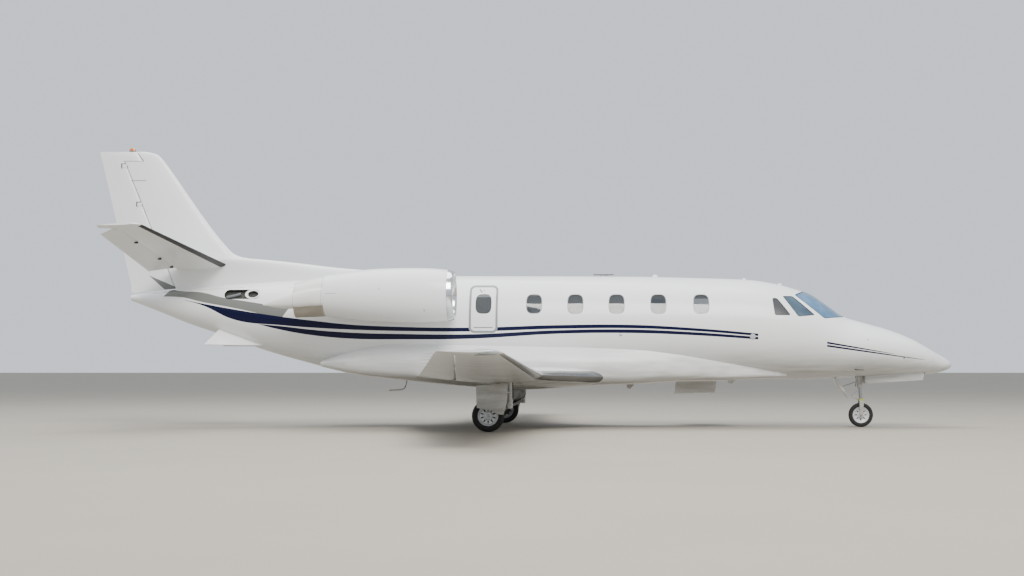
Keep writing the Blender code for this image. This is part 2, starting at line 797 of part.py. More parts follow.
NOZZLE = (
    (-3.4703, 2.378, 0.356, 0.322), (-3.62, 2.362, 0.350, 0.316), (-3.80, 2.335, 0.332, 0.298),
    (-4.00, 2.305, 0.308, 0.280),
)
STANG = (
    (-3.4703, 2.350, 0.150, 0.060), (-3.70, 2.335, 0.148, 0.085), (-3.95, 2.300, 0.130, 0.085),
    (-4.25, 2.255, 0.085, 0.060), (-4.52, 2.215, 0.015, 0.012),
)


def ring_at(x, y, z, ry, rz, count):
    pts = []
    for i in range(count):
        t = 2.0 * math.pi * (i + 0.5) / count
        pts.append((x, y + ry * math.cos(t), z + rz * math.sin(t)))
    return pts


def reverser_body():
    outer = loft([ring_at(x, ENGINE_Y, z, r, r, 24) for x, z, r, q in NOZZLE])
    for side in (1.0, -1.0):
        rings = []
        for x, z, tall, wide in STANG:
            near = NOZZLE[-1][2] if x < -4.0 else between([(-a, b, c, d) for a, b, c, d in NOZZLE], -x)[1]
            rings.append(ring_at(x, ENGINE_Y + side * near, z, wide, tall, 12))
        outer = join(outer, loft(rings))
    bore = [ring_at(x, ENGINE_Y, z, q, q, 24) for x, z, r, q in NOZZLE]
    bore[0] = [(-3.40, y, z) for x, y, z in bore[0]]
    bore[-1] = [(-4.70, y, z) for x, y, z in bore[-1]]
    return cut(outer, loft(bore))


def pylon_body(sign):
    rings = []
    for y, z in ((0.72, 2.43), (1.20, 2.43)):
        ring = foil_ring(-1.75, -3.45, 0.120)
        rings.append([(x, y, z + h) for x, h in ring])
    body = cut(loft(rings), nacelle_solid(GAP))
    if sign < 0:
        body = mirrored(body)
    return cut(body, hull(SHELL_BACK, STATIONS[-1][0], GAP))


for tag in ("L", "R"):
    made = (
        ("nacelle_", nacelle_body(), WHITE, 0.0, None),
        ("engine_", turned(CORE, 24, (0.0, ENGINE_Y, ENGINE_Z), closed=False), GREY, 0.8, None),
        ("fan_", fan_body(), METAL, 1.0, (-1.84, ENGINE_Y, ENGINE_Z)),
        ("reverser_", reverser_body(), WHITE, 0.0, None),
        ("pylon_", pylon_body(1.0 if tag == "L" else -1.0), WHITE, 0.0, None),
    )
    for name, body, colour, metal, origin in made:
        if tag == "R" and name == "pylon_":
            make(name + tag, body, colour, metal, 0.4, origin)
            continue
        if tag == "R":
            body = mirrored(body)
            if origin:
                origin = (origin[0], -origin[1], origin[2])
        make(name + tag, body, colour, metal, 0.4, origin)

# Cabin: floor, instrument panel, seats
floor_plate = meet(hull(SHELL_FRONT - WALL, SHELL_BACK + WALL, -WALL - GAP), block((-1.39, 5.60), (-0.8, 0.8), (FLOOR_TOP - 0.04, FLOOR_TOP)))
make("cabin_floor", floor_plate, (0.25, 0.22, 0.18))
panel = meet(hull(5.86, 5.2, -WALL - 0.03), block((5.30, 5.55), (-0.8, 0.8), (1.55, 2.02)))
pedestal = block((4.95, 5.40), (-0.17, 0.17), (FLOOR_TOP + GAP, 1.78))
make("instrument_panel", join(panel, pedestal), DARK)


def seat(x, y, face, width=0.50):
    """One seat on its box base; face is +1 when it looks forward."""
    low = block((x - 0.22, x + 0.22), (y - 0.18, y + 0.18), (FLOOR_TOP + 0.008, FLOOR_TOP + 0.28))
    pad = block((x - 0.25, x + 0.25), (y - width / 2, y + width / 2), (FLOOR_TOP + 0.24, FLOOR_TOP + 0.42))
    a = x - face * 0.17
    b = x - face * 0.30
    outline = ((a, FLOOR_TOP + 0.30), (a - face * 0.10, FLOOR_TOP + 1.08), (b - face * 0.10, FLOOR_TOP + 1.08), (b, FLOOR_TOP + 0.30))
    back = prism(outline, "Y", y - width / 2 + 0.03, y + width / 2 - 0.03)
    return join(low, pad, back)


def seat_set(places, rail_x):
    body = block(rail_x, (-0.45, 0.45), (FLOOR_TOP + GAP, FLOOR_TOP + 0.012))
    for x, y, face in places:
        body = join(body, seat(x, y, face, 0.44))
    return body


make("pilot_seats", seat_set(((4.62, 0.36, 1.0), (4.62, -0.36, 1.0)), (4.30, 4.85)), (0.30, 0.26, 0.2))
rows = []
for x, face in ((2.30, -1.0), (1.05, 1.0), (0.15, 1.0), (-0.75, 1.0)):
    rows += [(x, 0.42, face), (x, -0.42, face)]
make("cabin_seats", seat_set(rows, (-1.10, 2.60)), (0.45, 0.40, 0.33))

# Airstair: the lower-hinged door with treads on its inner side, drawn shut and swung down
sy, sz = STAIR_HINGE
door_x = (STAIR_X[0] + CLEAR, STAIR_X[1] - CLEAR)
door = meet(hull(SHELL_FRONT, SHELL_BACK), block(door_x, (0.3, 1.3), (sz, STAIR_Z[1] - 0.025)))
door = cut(door, hull(SHELL_FRONT - WALL, SHELL_BACK + WALL, -WALL))
knuckle = rod((door_x[0], sy, sz), (door_x[1], sy, sz), 0.021, 16)
pin = rod((STAIR_X[0] + GAP, sy, sz), (STAIR_X[1] - GAP, sy, sz), 0.010, 12)
door = join(door, knuckle, pin)
for k in range(4):
    z = 1.50 + 0.245 * k
    y = skin_y(3.26, z) - WALL
    tread = block((door_x[0] + 0.07, door_x[1] - 0.07), (y - 0.13 - 0.02 * k, y + 0.03), (z - 0.012, z + 0.012))
    swing = Matrix.Translation((0.0, y, z)) @ Matrix.Rotation(math.radians(-42.0), 4, "X") @ Matrix.Translation((0.0, -y, -z))
    tread.transform(swing)
    door = join(door, tread)
door.transform(Matrix.Translation((0.0, -sy, -sz)))
door.transform(Matrix.Rotation(-STAIR_OPEN, 4, "X"))
door.transform(Matrix.Translation((0.0, sy, sz)))
make("airstair", door, WHITE, origin=(door_x[0], sy, sz))

# Main gear: leg in its wing socket, trailing arm, shock strut, axle and leg door
AXLE = Vector((MAIN_X, TRACK_HALF, MAIN_R))
ARM_Y = TRACK_HALF - 0.155
knee = Vector((-0.16, ARM_Y, 0.46))
leg = rod((-0.16, TRACK_HALF, 0.40), (-0.16, TRACK_HALF, 1.03), 0.05, 16)
leg = join(leg, rod((-0.16, ARM_Y - 0.035, 0.46), (-0.16, TRACK_HALF + 0.05, 0.46), 0.045, 14))
leg = join(leg, rod(knee, (AXLE.x, ARM_Y, AXLE.z), 0.034, 12))
leg = join(leg, rod((AXLE.x, ARM_Y - 0.04, AXLE.z), (AXLE.x, TRACK_HALF + 0.09, AXLE.z), 0.028, 14))
leg = join(leg, rod((-0.16, TRACK_HALF, 0.80), (-0.20, ARM_Y, 0.76), 0.026, 10))
leg = join(leg, rod((-0.20, ARM_Y, 0.77), (-0.40, ARM_Y, 0.36), 0.027, 12))
door = prism(
    ((-0.73, 0.80), (-0.72, 0.46), (-0.68, 0.475), (-0.60, 0.50), (-0.51, 0.505), (-0.42, 0.475),
     (-0.355, 0.42), (-0.33, 0.35), (-0.32, 0.29), (-0.24, 0.29), (-0.20, 0.50), (-0.18, 0.835), (-0.30, 0.83)),
    "Y", TRACK_HALF + 0.150, TRACK_HALF + 0.160,
)
arm = block((-0.24, -0.12), (TRACK_HALF, TRACK_HALF + 0.155), (0.66, 0.70))
leg = join(leg, arm, door)


def tyre_body(radius, width, rim, centre, count):
    half = width / 2.0
    profile = (
        (-half * 0.62, rim), (-half * 0.92, rim + 0.12 * (radius - rim)), (-half, (radius + rim) / 2.0),
        (-half * 0.80, radius - 0.18 * (radius - rim)), (-half * 0.42, radius - 0.03 * (radius - rim)), (0.0, radius),
        (half * 0.42, radius - 0.03 * (radius - rim)), (half * 0.80, radius - 0.18 * (radius - rim)),
        (half, (radius + rim) / 2.0), (half * 0.92, rim + 0.12 * (radius - rim)), (half * 0.62, rim),
    )
    return turned(profile, count, centre, "Y")


def rim_body(rim, width, bore, centre, count):
    half = width / 2.0
    seat = rim - GAP
    profile = (
        (-half * 0.60, seat), (-half * 0.72, seat - 0.002), (-half * 0.72, seat - 0.016), (-half * 0.30, seat - 0.032),
        (-half * 0.18, bore + 0.045), (-half * 0.55, bore + 0.030), (-half * 0.55, bore),
        (half * 0.55, bore), (half * 0.55, bore + 0.030), (half * 0.18, bore + 0.045),
        (half * 0.30, seat - 0.032), (half * 0.72, seat - 0.016), (half * 0.72, seat - 0.002), (half * 0.60, seat),
    )
    return turned(profile, count, centre, "Y")


for tag, sign in (("L", 1.0), ("R", -1.0)):
    centre = (AXLE.x, sign * AXLE.y, AXLE.z)
    tyre = tyre_body(MAIN_R, MAIN_W, 0.180, centre, 28)
    make("main_tyre_" + tag, tyre, DARK, 0.0, 0.9, origin=centre)
    make("main_rim_" + tag, rim_body(0.180, MAIN_W * 0.85, 0.0288, centre, 28), GREY, 0.6, 0.4, origin=centre)
    make("main_leg_" + tag, leg.copy() if sign > 0 else mirrored(leg), WHITE)

# Nose gear: raked strut, steered fork with torque links, wheel, doors
NOSE_TOP = Vector((6.22, 0.0, 1.42 - GAP))
NOSE_LOW = Vector((6.275, 0.0, 0.74))
NOSE_AXIS = (NOSE_LOW - NOSE_TOP).normalized()
nose_axle = Vector((NOSE_X, 0.0, NOSE_R))
strut = rod(NOSE_TOP + NOSE_AXIS * 0.01, NOSE_LOW, 0.044, 16)
strut = cut(strut, block((6.0, 6.5), (-0.2, 0.2), (1.42 - GAP, 1.6)))
strut = join(strut, rod(NOSE_LOW - NOSE_AXIS * 0.07, NOSE_LOW, 0.056, 16))
strut = join(strut, rod((6.235, 0.0, 1.05), (6.62, 0.0, 1.42 - GAP - 0.02), 0.022, 10))
make("nose_strut", strut)

crown = NOSE_LOW + NOSE_AXIS * 0.235
fork = rod(NOSE_LOW + NOSE_AXIS * GAP, crown, 0.032, 16)
fork = join(fork, block((crown.x - 0.05, crown.x + 0.05), (-0.095, 0.095), (crown.z - 0.022, crown.z + 0.022)))
for side in (1.0, -1.0):
    y = sorted((side * 0.072, side * 0.094))
    cheek = prism(
        ((crown.x - 0.045, crown.z + 0.01), (crown.x + 0.045, crown.z + 0.01),
         (NOSE_X + 0.032, NOSE_R - 0.01), (NOSE_X, NOSE_R - 0.035), (NOSE_X - 0.032, NOSE_R - 0.01)),
        "Y", y[0], y[1],
    )
    fork = join(fork, cheek)
fork = join(fork, rod((NOSE_X, -0.10, NOSE_R), (NOSE_X, 0.10, NOSE_R), 0.018, 12))
link = prism(
    ((6.25, 0.70), (6.25, 0.665), (6.13, 0.600), (6.25, 0.525), (6.25, 0.49), (6.09, 0.590), (6.09, 0.612)),
    "Y", -0.020, 0.020,
)
fork = join(fork, link)
make("nose_fork", fork, (0.45, 0.48, 0.16), 0.1, 0.5, origin=tuple(NOSE_LOW))
make("nose_tyre", tyre_body(NOSE_R, NOSE_W, 0.155, nose_axle, 28), DARK, 0.0, 0.9, origin=tuple(nose_axle))
make("nose_rim", rim_body(0.155, NOSE_W * 0.85, 0.0188, nose_axle, 28), GREY, 0.6, 0.4, origin=tuple(nose_axle))

DOOR_X = (6.34, 7.44)
DOOR_Z = (0.981, 1.034)
DOOR_Y = BAY_HALF - GAP - 0.008
for tag, sign in (("L", 1.0), ("R", -1.0)):
    hinge = rod((DOOR_X[0], DOOR_Y, DOOR_Z[0]), (DOOR_X[1], DOOR_Y, DOOR_Z[1]), 0.008, 12)
    a, b = DOOR_X
    plate = prism(
        ((a, DOOR_Z[0]), (b, DOOR_Z[1]), (b - 0.02, DOOR_Z[1] - 0.150), (a + 0.03, DOOR_Z[0] - 0.168), (a, DOOR_Z[0] - 0.14)),
        "Y", DOOR_Y - 0.006, DOOR_Y,
    )
    body = join(hinge, plate)
    if sign < 0:
        body = mirrored(body)
    make("nose_door_" + tag, body, WHITE, origin=(DOOR_X[0], sign * DOOR_Y, DOOR_Z[0]))
aft = prism(((5.79, 0.86), (5.80, 0.94), (5.812, 0.94), (6.05, 0.56), (6.035, 0.55)), "Y", -0.13, 0.13)
aft = join(aft, prism(((5.90, 0.735), (5.90, 0.755), (6.26, 0.875), (6.26, 0.855)), "Y", -0.015, 0.015))
aft = cut(aft, hull(NOSE_TIP, SHELL_BACK, GAP), rod(NOSE_TOP, NOSE_LOW, 0.044 + GAP, 16))
make("nose_aft_door", aft)

# Beacon on the fin's top
rings = []
for z, long, wide in ((5.16 + GAP, 0.064, 0.034), (5.195, 0.062, 0.033), (5.222, 0.050, 0.027), (5.240, 0.026, 0.014)):
    rings.append([(BEACON_X + long * math.cos(math.radians(22.5 * k)), wide * math.sin(math.radians(22.5 * k)), z)
                  for k in range(16)])
make("beacon", loft(rings), (0.8, 0.25, 0.02), 0.0, 0.2)
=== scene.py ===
# %% [markdown]
# # A business jet on the apron
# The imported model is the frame: bodies, joints and plain solids. Each cell dresses one part of it.
# The lines of a jet are smooth curves through a few stations, so every skin here is a fine loft
# through the same stations as the solid under it.

# %% Load the frame
import math

import bmesh
import bpy
import numpy as np
from mathutils import Matrix, Vector


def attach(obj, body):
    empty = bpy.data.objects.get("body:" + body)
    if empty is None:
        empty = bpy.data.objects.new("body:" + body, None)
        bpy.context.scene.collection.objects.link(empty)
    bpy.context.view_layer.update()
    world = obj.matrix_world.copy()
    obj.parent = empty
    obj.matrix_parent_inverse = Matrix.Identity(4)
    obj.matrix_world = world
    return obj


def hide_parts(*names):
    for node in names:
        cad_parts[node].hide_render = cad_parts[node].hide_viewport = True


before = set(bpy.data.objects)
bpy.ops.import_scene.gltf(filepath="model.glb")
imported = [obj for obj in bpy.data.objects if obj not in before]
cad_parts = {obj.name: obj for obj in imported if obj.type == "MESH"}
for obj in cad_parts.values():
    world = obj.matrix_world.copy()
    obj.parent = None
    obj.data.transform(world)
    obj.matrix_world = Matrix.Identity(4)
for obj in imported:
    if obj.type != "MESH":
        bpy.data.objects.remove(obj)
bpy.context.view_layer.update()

# %% [markdown]
# ## Helpers
# One function turns an sRGB hex colour into linear light. One adds a node with its settings and
# its links. One makes a whole finish: a base colour that varies a little over decimetres, a
# finer grain in the roughness, and a bump in real millimetres.

# %% Colour, node and finish helpers
def linear(code):
    out = []
    for i in (0, 2, 4):
        v = int(code[i:i + 2], 16) / 255.0
        out.append(v / 12.92 if v <= 0.04045 else ((v + 0.055) / 1.055) ** 2.4)
    return (*out, 1.0)


def node(mat, kind, settings=None, values=None, links=None):
    """Add a node: settings are its properties, values its sockets, links {socket: other output}."""
    made = mat.node_tree.nodes.new(kind)
    for key, value in (settings or {}).items():
        setattr(made, key, value)
    for key, value in (values or {}).items():
        made.inputs[key].default_value = value
    for key, value in (links or {}).items():
        mat.node_tree.links.new(value, made.inputs[key])
    return made


def math_node(mat, operation, a, b=None, clamp=False, c=None):
    made = node(mat, "ShaderNodeMath", {"operation": operation, "use_clamp": clamp})
    for slot, value in ((0, a), (1, b), (2, c)):
        if value is None:
            continue
        if isinstance(value, (int, float)):
            made.inputs[slot].default_value = value
        else:
            mat.node_tree.links.new(value, made.inputs[slot])
    return made.outputs[0]


def mix_colour(mat, factor, a, b):
    made = node(mat, "ShaderNodeMix", {"data_type": "RGBA"})
    for slot, value in ((0, factor), (6, a), (7, b)):
        if isinstance(value, (int, float, tuple)):
            made.inputs[slot].default_value = value
        else:
            mat.node_tree.links.new(value, made.inputs[slot])
    return made.outputs[2]


def finish_of(name, light, dark, rough=0.3, metal=0.0, coat=0.0, patch_m=0.6, grain_mm=2.0,
              bump_mm=0.05, rough_play=0.08, stretch=(1.0, 1.0, 1.0), extra=None, spec=0.5):
    """A finish whose colour drifts between two tones, with grain in roughness and height."""
    mat = bpy.data.materials.new(name)
    mat.use_nodes = True
    shader = mat.node_tree.nodes["Principled BSDF"]
    place = node(mat, "ShaderNodeTexCoord").outputs["Object"]
    spread = node(mat, "ShaderNodeMapping", None, {"Scale": stretch}, {"Vector": place}).outputs[0]
    patch = node(mat, "ShaderNodeTexNoise", None, {"Scale": 1.0 / patch_m, "Detail": 5.0}, {"Vector": spread})
    grain = node(mat, "ShaderNodeTexNoise", None, {"Scale": 1000.0 / grain_mm, "Detail": 3.0},
                 {"Vector": spread})
    colour = mix_colour(mat, patch.outputs[0], linear(light), linear(dark))
    if extra:
        colour = extra(mat, place, colour)
    links = mat.node_tree.links
    links.new(colour, shader.inputs["Base Color"])
    wear = node(mat, "ShaderNodeMapRange", None, {"To Min": rough - rough_play, "To Max": rough + rough_play},
                {"Value": patch.outputs[0]})
    links.new(wear.outputs[0], shader.inputs["Roughness"])
    bump = node(mat, "ShaderNodeBump", None, {"Strength": 0.6, "Distance": bump_mm / 1000.0},
                {"Height": grain.outputs[0]})
    links.new(bump.outputs[0], shader.inputs["Normal"])
    shader.inputs["Metallic"].default_value = metal
    shader.inputs["Coat Weight"].default_value = coat
    shader.inputs["Specular IOR Level"].default_value = spec
    shader.inputs["Coat Roughness"].default_value = 0.04
    return mat


# %% Mesh helpers
SIDES = (("L", 1), ("R", -1))


def turns(count, extra=0):
    """Angles of one full turn, and a few more past its start."""
    return [2.0 * math.pi * k / count for k in range(count + extra)]


def cosine_steps(count):
    """Shares from 0 to 1 that lie close together at both ends."""
    return [0.5 * (1 - math.cos(math.pi * k / count)) for k in range(count + 1)]
def mesh_piece(name, bm, mat, body="airframe", gone=(), smooth=35.0):
    """Name a bmesh as a piece, give it finishes, seat it on its body and hide what it stands for."""
    mesh = bpy.data.meshes.new(name)
    bm.to_mesh(mesh)
    bm.free()
    obj = bpy.data.objects.new(name, mesh)
    bpy.context.scene.collection.objects.link(obj)
    for m in (mat if isinstance(mat, (list, tuple)) else (mat,)):
        mesh.materials.append(m)
    mesh.shade_smooth()
    mesh.set_sharp_from_angle(angle=math.radians(smooth))
    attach(obj, body)
    if gone:
        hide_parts(*gone)
    return obj


def loft(rings):
    """Solid through closed rings, each joined to the next, with a face over both ends."""
    bm = bmesh.new()
    rows = [[bm.verts.new(p) for p in ring] for ring in rings]
    count = len(rows[0])
    for a, b in zip(rows, rows[1:]):
        for i in range(count):
            j = (i + 1) % count
            bm.faces.new((a[i], a[j], b[j], b[i]))
    bm.faces.new(rows[0])
    bm.faces.new(list(reversed(rows[-1])))
    bmesh.ops.recalc_face_normals(bm, faces=bm.faces[:])
    return bm


def prism(points, axis, low, high):
    """Flat outline drawn out along an axis."""
    rings = []
    for v in (low, high):
        put = {"X": lambda a, b: (v, a, b), "Y": lambda a, b: (a, v, b), "Z": lambda a, b: (a, b, v)}[axis]
        rings.append([put(a, b) for a, b in points])
    return loft(rings)


def softened(bm, offset, segments=2, longer=0.0):
    """Round the edges of a bmesh that are longer than a limit."""
    edges = [e for e in bm.edges if e.calc_length() > longer]
    bmesh.ops.bevel(bm, geom=edges, offset=offset, segments=segments, profile=0.5, affect="EDGES",
                    material=-1)
    return bm


def block(x, y, z, bevel=0.0):
    bm = prism(((x[0], y[0]), (x[1], y[0]), (x[1], y[1]), (x[0], y[1])), "Z", z[0], z[1])
    return softened(bm, bevel, 3) if bevel else bm


def tube(points, radius, count=16):
    """Round bar through points; radius may be one number or one per point."""
    points = [Vector(p) for p in points]
    radii = radius if isinstance(radius, (list, tuple)) else [radius] * len(points)
    rings = []
    side = None
    for i, p in enumerate(points):
        ahead = points[min(i + 1, len(points) - 1)] - points[max(i - 1, 0)]
        ahead.normalize()
        side = ahead.orthogonal() if side is None else side - ahead * side.dot(ahead)
        side.normalize()
        up = ahead.cross(side)
        r = radii[i]
        rings.append([p + side * (r * math.cos(t)) + up * (r * math.sin(t)) for t in turns(count)])
    return loft(rings)


def spun(profile, centre, axis="Y", count=64, closed=True):
    """Turn a profile of (along, radius) round an axis with a full spin."""
    bm = bmesh.new()
    centre = Vector(centre)
    along = Vector((0, 1, 0)) if axis == "Y" else Vector((1, 0, 0))
    out = Vector((0, 0, 1))
    verts = [bm.verts.new(centre + along * a + out * r) for a, r in profile]
    edges = [bm.edges.new(pair) for pair in zip(verts, verts[1:])]
    if closed:
        edges.append(bm.edges.new((verts[-1], verts[0])))
    bmesh.ops.spin(bm, geom=verts + edges, cent=centre, axis=along, dvec=(0, 0, 0), angle=2.0 * math.pi,
                   steps=count, use_merge=True, use_duplicate=False)
    bmesh.ops.remove_doubles(bm, verts=bm.verts[:], dist=1e-6)
    bmesh.ops.recalc_face_normals(bm, faces=bm.faces[:])
    return bm


def combined(base, tools, how="DIFFERENCE"):
    """Boolean of one bmesh with others, as a new bmesh."""
    def temp(bm):
        mesh = bpy.data.meshes.new("temp")
        bm.to_mesh(mesh)
        obj = bpy.data.objects.new("temp", mesh)
        bpy.context.scene.collection.objects.link(obj)
        return obj
    target = temp(base)
    made = [temp(t) for t in tools]
    for tool in made:
        mod = target.modifiers.new("cut", "BOOLEAN")
        mod.operation = how
        mod.solver = "EXACT"
        mod.object = tool
    graph = bpy.context.evaluated_depsgraph_get()
    result = bpy.data.meshes.new_from_object(target.evaluated_get(graph))
    bm = bmesh.new()
    bm.from_mesh(result)
    for obj in [target] + made:
        bpy.data.objects.remove(obj, do_unlink=True)
    return bm


def merged(*parts):
    """Several bmeshes in one piece."""
    out = bmesh.new()
    for part in parts:
        mesh = bpy.data.meshes.new("part")
        part.to_mesh(mesh)
        out.from_mesh(mesh)
        bpy.data.meshes.remove(mesh)
    return out


def tint(bm, index):
    """Give every face of a bmesh one finish slot."""
    for f in bm.faces:
        f.material_index = index
    return bm


def flipped(bm):
    """Mirror image across the middle plane."""
    twin = bm.copy()
    for v in twin.verts:
        v.co.y = -v.co.y
    bmesh.ops.reverse_faces(twin, faces=twin.faces[:])
    return twin


def handed(bm, side):
    """The port shape, or its mirror image for starboard."""
    return bm.copy() if side > 0 else flipped(bm)


def pair(name, bm, mats, body="airframe", gone="", smooth=35.0):
    """A port piece and its mirror image. L or R ends their names, a moving body and what they replace."""
    for tag, side in SIDES:
        seat = body if body == "airframe" else body + tag
        mesh_piece(name + tag, handed(bm, side), mats, seat, (gone + tag,) if gone else (), smooth)

# %% [markdown]
# ## Lines of the aircraft
# The stations are the same as the solid's. Between them a shape-preserving cubic keeps the skin
# fair without overshoot. The variable is the square root of the distance from the nose, so that
# the nose closes round and not in a cone.

# %% Fair curves through the stations
STATIONS = np.array((
    (7.98, 1.195, 1.135, 0.035), (7.93, 1.245, 1.085, 0.115), (7.70, 1.385, 1.015, 0.265),
    (7.48, 1.515, 0.990, 0.385), (7.21, 1.660, 0.985, 0.500), (6.80, 1.820, 0.970, 0.625),
    (6.36, 1.945, 0.950, 0.725), (6.05, 2.030, 0.932, 0.785), (5.97, 2.055, 0.928, 0.798),
    (5.65, 2.270, 0.912, 0.845), (5.32, 2.485, 0.904, 0.885), (5.02, 2.590, 0.900, 0.915),
    (4.64, 2.690, 0.897, 0.940), (4.14, 2.760, 0.895, 0.957), (3.30, 2.790, 0.895, 0.965),
    (1.80, 2.820, 0.895, 0.965), (-1.50, 2.830, 0.895, 0.965), (-2.60, 2.815, 0.930, 0.950),
    (-3.30, 2.790, 1.020, 0.905), (-4.10, 2.760, 1.215, 0.805), (-4.88, 2.720, 1.440, 0.670),
    (-5.60, 2.670, 1.700, 0.520), (-6.28, 2.610, 1.930, 0.375), (-6.90, 2.535, 2.180, 0.235),
    (-7.38, 2.480, 2.365, 0.085),
))


def fair(table, at):
    """Monotone cubic through (x, values...) rows with x rising."""
    x = table[:, 0]
    out = []
    i = int(np.clip(np.searchsorted(x, at) - 1, 0, len(x) - 2))
    h = np.diff(x)
    f = np.clip((at - x[i]) / h[i], 0.0, 1.0)
    for column in table.T[1:]:
        d = np.diff(column) / h
        slope = []
        for k in (i, i + 1):
            if k == 0:
                slope.append(d[0])
            elif k == len(x) - 1:
                slope.append(d[-1])
            elif d[k - 1] * d[k] <= 0.0:
                slope.append(0.0)
            else:
                w1 = 2.0 * h[k] + h[k - 1]
                w2 = h[k] + 2.0 * h[k - 1]
                slope.append((w1 + w2) / (w1 / d[k - 1] + w2 / d[k]))
        a, b = column[i], column[i + 1]
        m, n = slope[0] * h[i], slope[1] * h[i]
        out.append(a + m * f + (3 * (b - a) - 2 * m - n) * f * f + (2 * (a - b) + m + n) * f ** 3)
    return out


NOSE_TIP = 7.986
HULL_SIDES = 96
HULL = STATIONS.copy()
HULL[:, 0] = np.sqrt(NOSE_TIP - HULL[:, 0])


def hull_at(x):
    return fair(HULL, math.sqrt(max(0.0, NOSE_TIP - x)))


def skin(x, turn, grow=0.0):
    """Point of the fuselage skin at a station and an angle that starts level at port and rises."""
    top, low, half = hull_at(x)
    mid = (top + low) / 2.0
    return Vector((x, (half + grow) * math.cos(turn), mid + ((top - low) / 2.0 + grow) * math.sin(turn)))


def skin_y(x, z):
    top, low, half = hull_at(x)
    rel = (z - (top + low) / 2.0) / ((top - low) / 2.0)
    return half * math.sqrt(max(0.0, 1.0 - rel * rel))


def hull_rings(xs, grow=0.0):
    angles = [2.0 * math.pi * (i + 0.5) / HULL_SIDES for i in range(HULL_SIDES)]
    return [[skin(x, turn, grow) for turn in angles] for x in xs]


def steps(a, b, pitch):
    count = max(1, int(round(abs(b - a) / pitch)))
    return [a + (b - a) * k / count for k in range(count + 1)]


def hull_form(first, last, pitch, grow=0.0):
    """Solid of the fuselage's form between two stations, pushed out by grow."""
    return loft(hull_rings(steps(first, last, pitch), grow))


def side_cutter(points, sign, inner, outer=1.3):
    """An outline driven through one flank, between two distances off the middle plane."""
    return prism(points, "Y", *sorted((sign * inner, sign * outer)))


def skin_slab(cutter, span, pitch, top, under, holes=()):
    """What a cutter takes of the skin between two depths. span holds the ends of both forms."""
    slab = combined(cutter, [hull_form(*span[0], pitch, top)], "INTERSECT")
    return combined(slab, [hull_form(*span[1], pitch, under), *holes])


# %% [markdown]
# ## Paint
# Polyurethane aircraft paint: a bright white with a clear gloss over it. It is never one tone:
# there is orange peel of a millimetre or two, and low on the body a darkening that is partly a film
# of dust and exhaust and partly painted shade.
# The stripes are painted on the fuselage, so they are part of its finish. Each edge of a stripe
# is a height over the length of the aircraft, given by a curve node.

# %% Stripe edges and the fuselage paint
X_LOW, X_HIGH, Z_LOW, Z_HIGH = -8.0, 8.0, 0.5, 5.5
EDGES = {
    "upper_top": ((-6.30, 2.366), (-5.98, 2.302), (-5.207, 2.162), (-4.445, 2.045), (-3.87, 1.972),
                  (-3.13, 1.893), (-2.2, 1.850), (-0.957, 1.836), (0.673, 1.883), (1.94, 1.888),
                  (2.9, 1.842), (4.27, 1.728)),
    "upper_low": ((-6.30, 2.360), (-5.98, 2.275), (-5.207, 1.964), (-4.445, 1.888), (-3.87, 1.842),
                  (-3.13, 1.802), (-2.2, 1.775), (-0.957, 1.766), (0.673, 1.816), (1.94, 1.825),
                  (2.9, 1.788), (4.27, 1.684)),
    "lower_top": ((-4.86, 1.909), (-4.445, 1.872), (-3.87, 1.804), (-3.13, 1.748), (-2.2, 1.722),
                  (-0.957, 1.717), (0.673, 1.791), (1.94, 1.803), (2.9, 1.766), (4.27, 1.667)),
    "lower_low": ((-4.86, 1.906), (-4.445, 1.806), (-3.87, 1.706), (-3.13, 1.638), (-2.2, 1.625),
                  (-0.957, 1.636), (0.673, 1.726), (1.94, 1.738), (2.9, 1.708), (4.27, 1.622)),
    "silver_top": ((-7.30, 2.95), (-6.53, 2.560), (-5.98, 2.507), (-5.58, 2.410), (-5.12, 2.334),
                   (-4.60, 2.252), (-4.20, 2.195)),
    "silver_low": ((-7.30, 2.40), (-6.40, 2.420), (-5.98, 2.330), (-5.24, 2.190), (-4.43, 2.012),
                   (-4.20, 1.975)),
    "nose_a_top": ((5.53, 1.584), (6.20, 1.469), (6.79, 1.367)),
    "nose_a_low": ((5.53, 1.548), (6.20, 1.446), (6.79, 1.362)),
    "nose_b_top": ((5.53, 1.527), (6.50, 1.387), (7.41, 1.257)),
    "nose_b_low": ((5.53, 1.492), (6.50, 1.363), (7.41, 1.252)),
}


EDGE_SHARP, END_SHARP = 500.0, 300.0


def edge_curve(mat, x_unit, points):
    """Height of a stripe's edge over the aircraft's length."""
    made = node(mat, "ShaderNodeFloatCurve", None, None, {"Value": x_unit})
    curve = made.mapping.curves[0]
    rows = [((x - X_LOW) / (X_HIGH - X_LOW), (z - Z_LOW) / (Z_HIGH - Z_LOW)) for x, z in points]
    curve.points[0].location = rows[0]
    curve.points[1].location = rows[-1]
    for row in rows[1:-1]:
        curve.points.new(*row)
    made.mapping.use_clip = False
    made.mapping.update()
    return math_node(mat, "MULTIPLY_ADD", made.outputs[0], Z_HIGH - Z_LOW, c=Z_LOW)


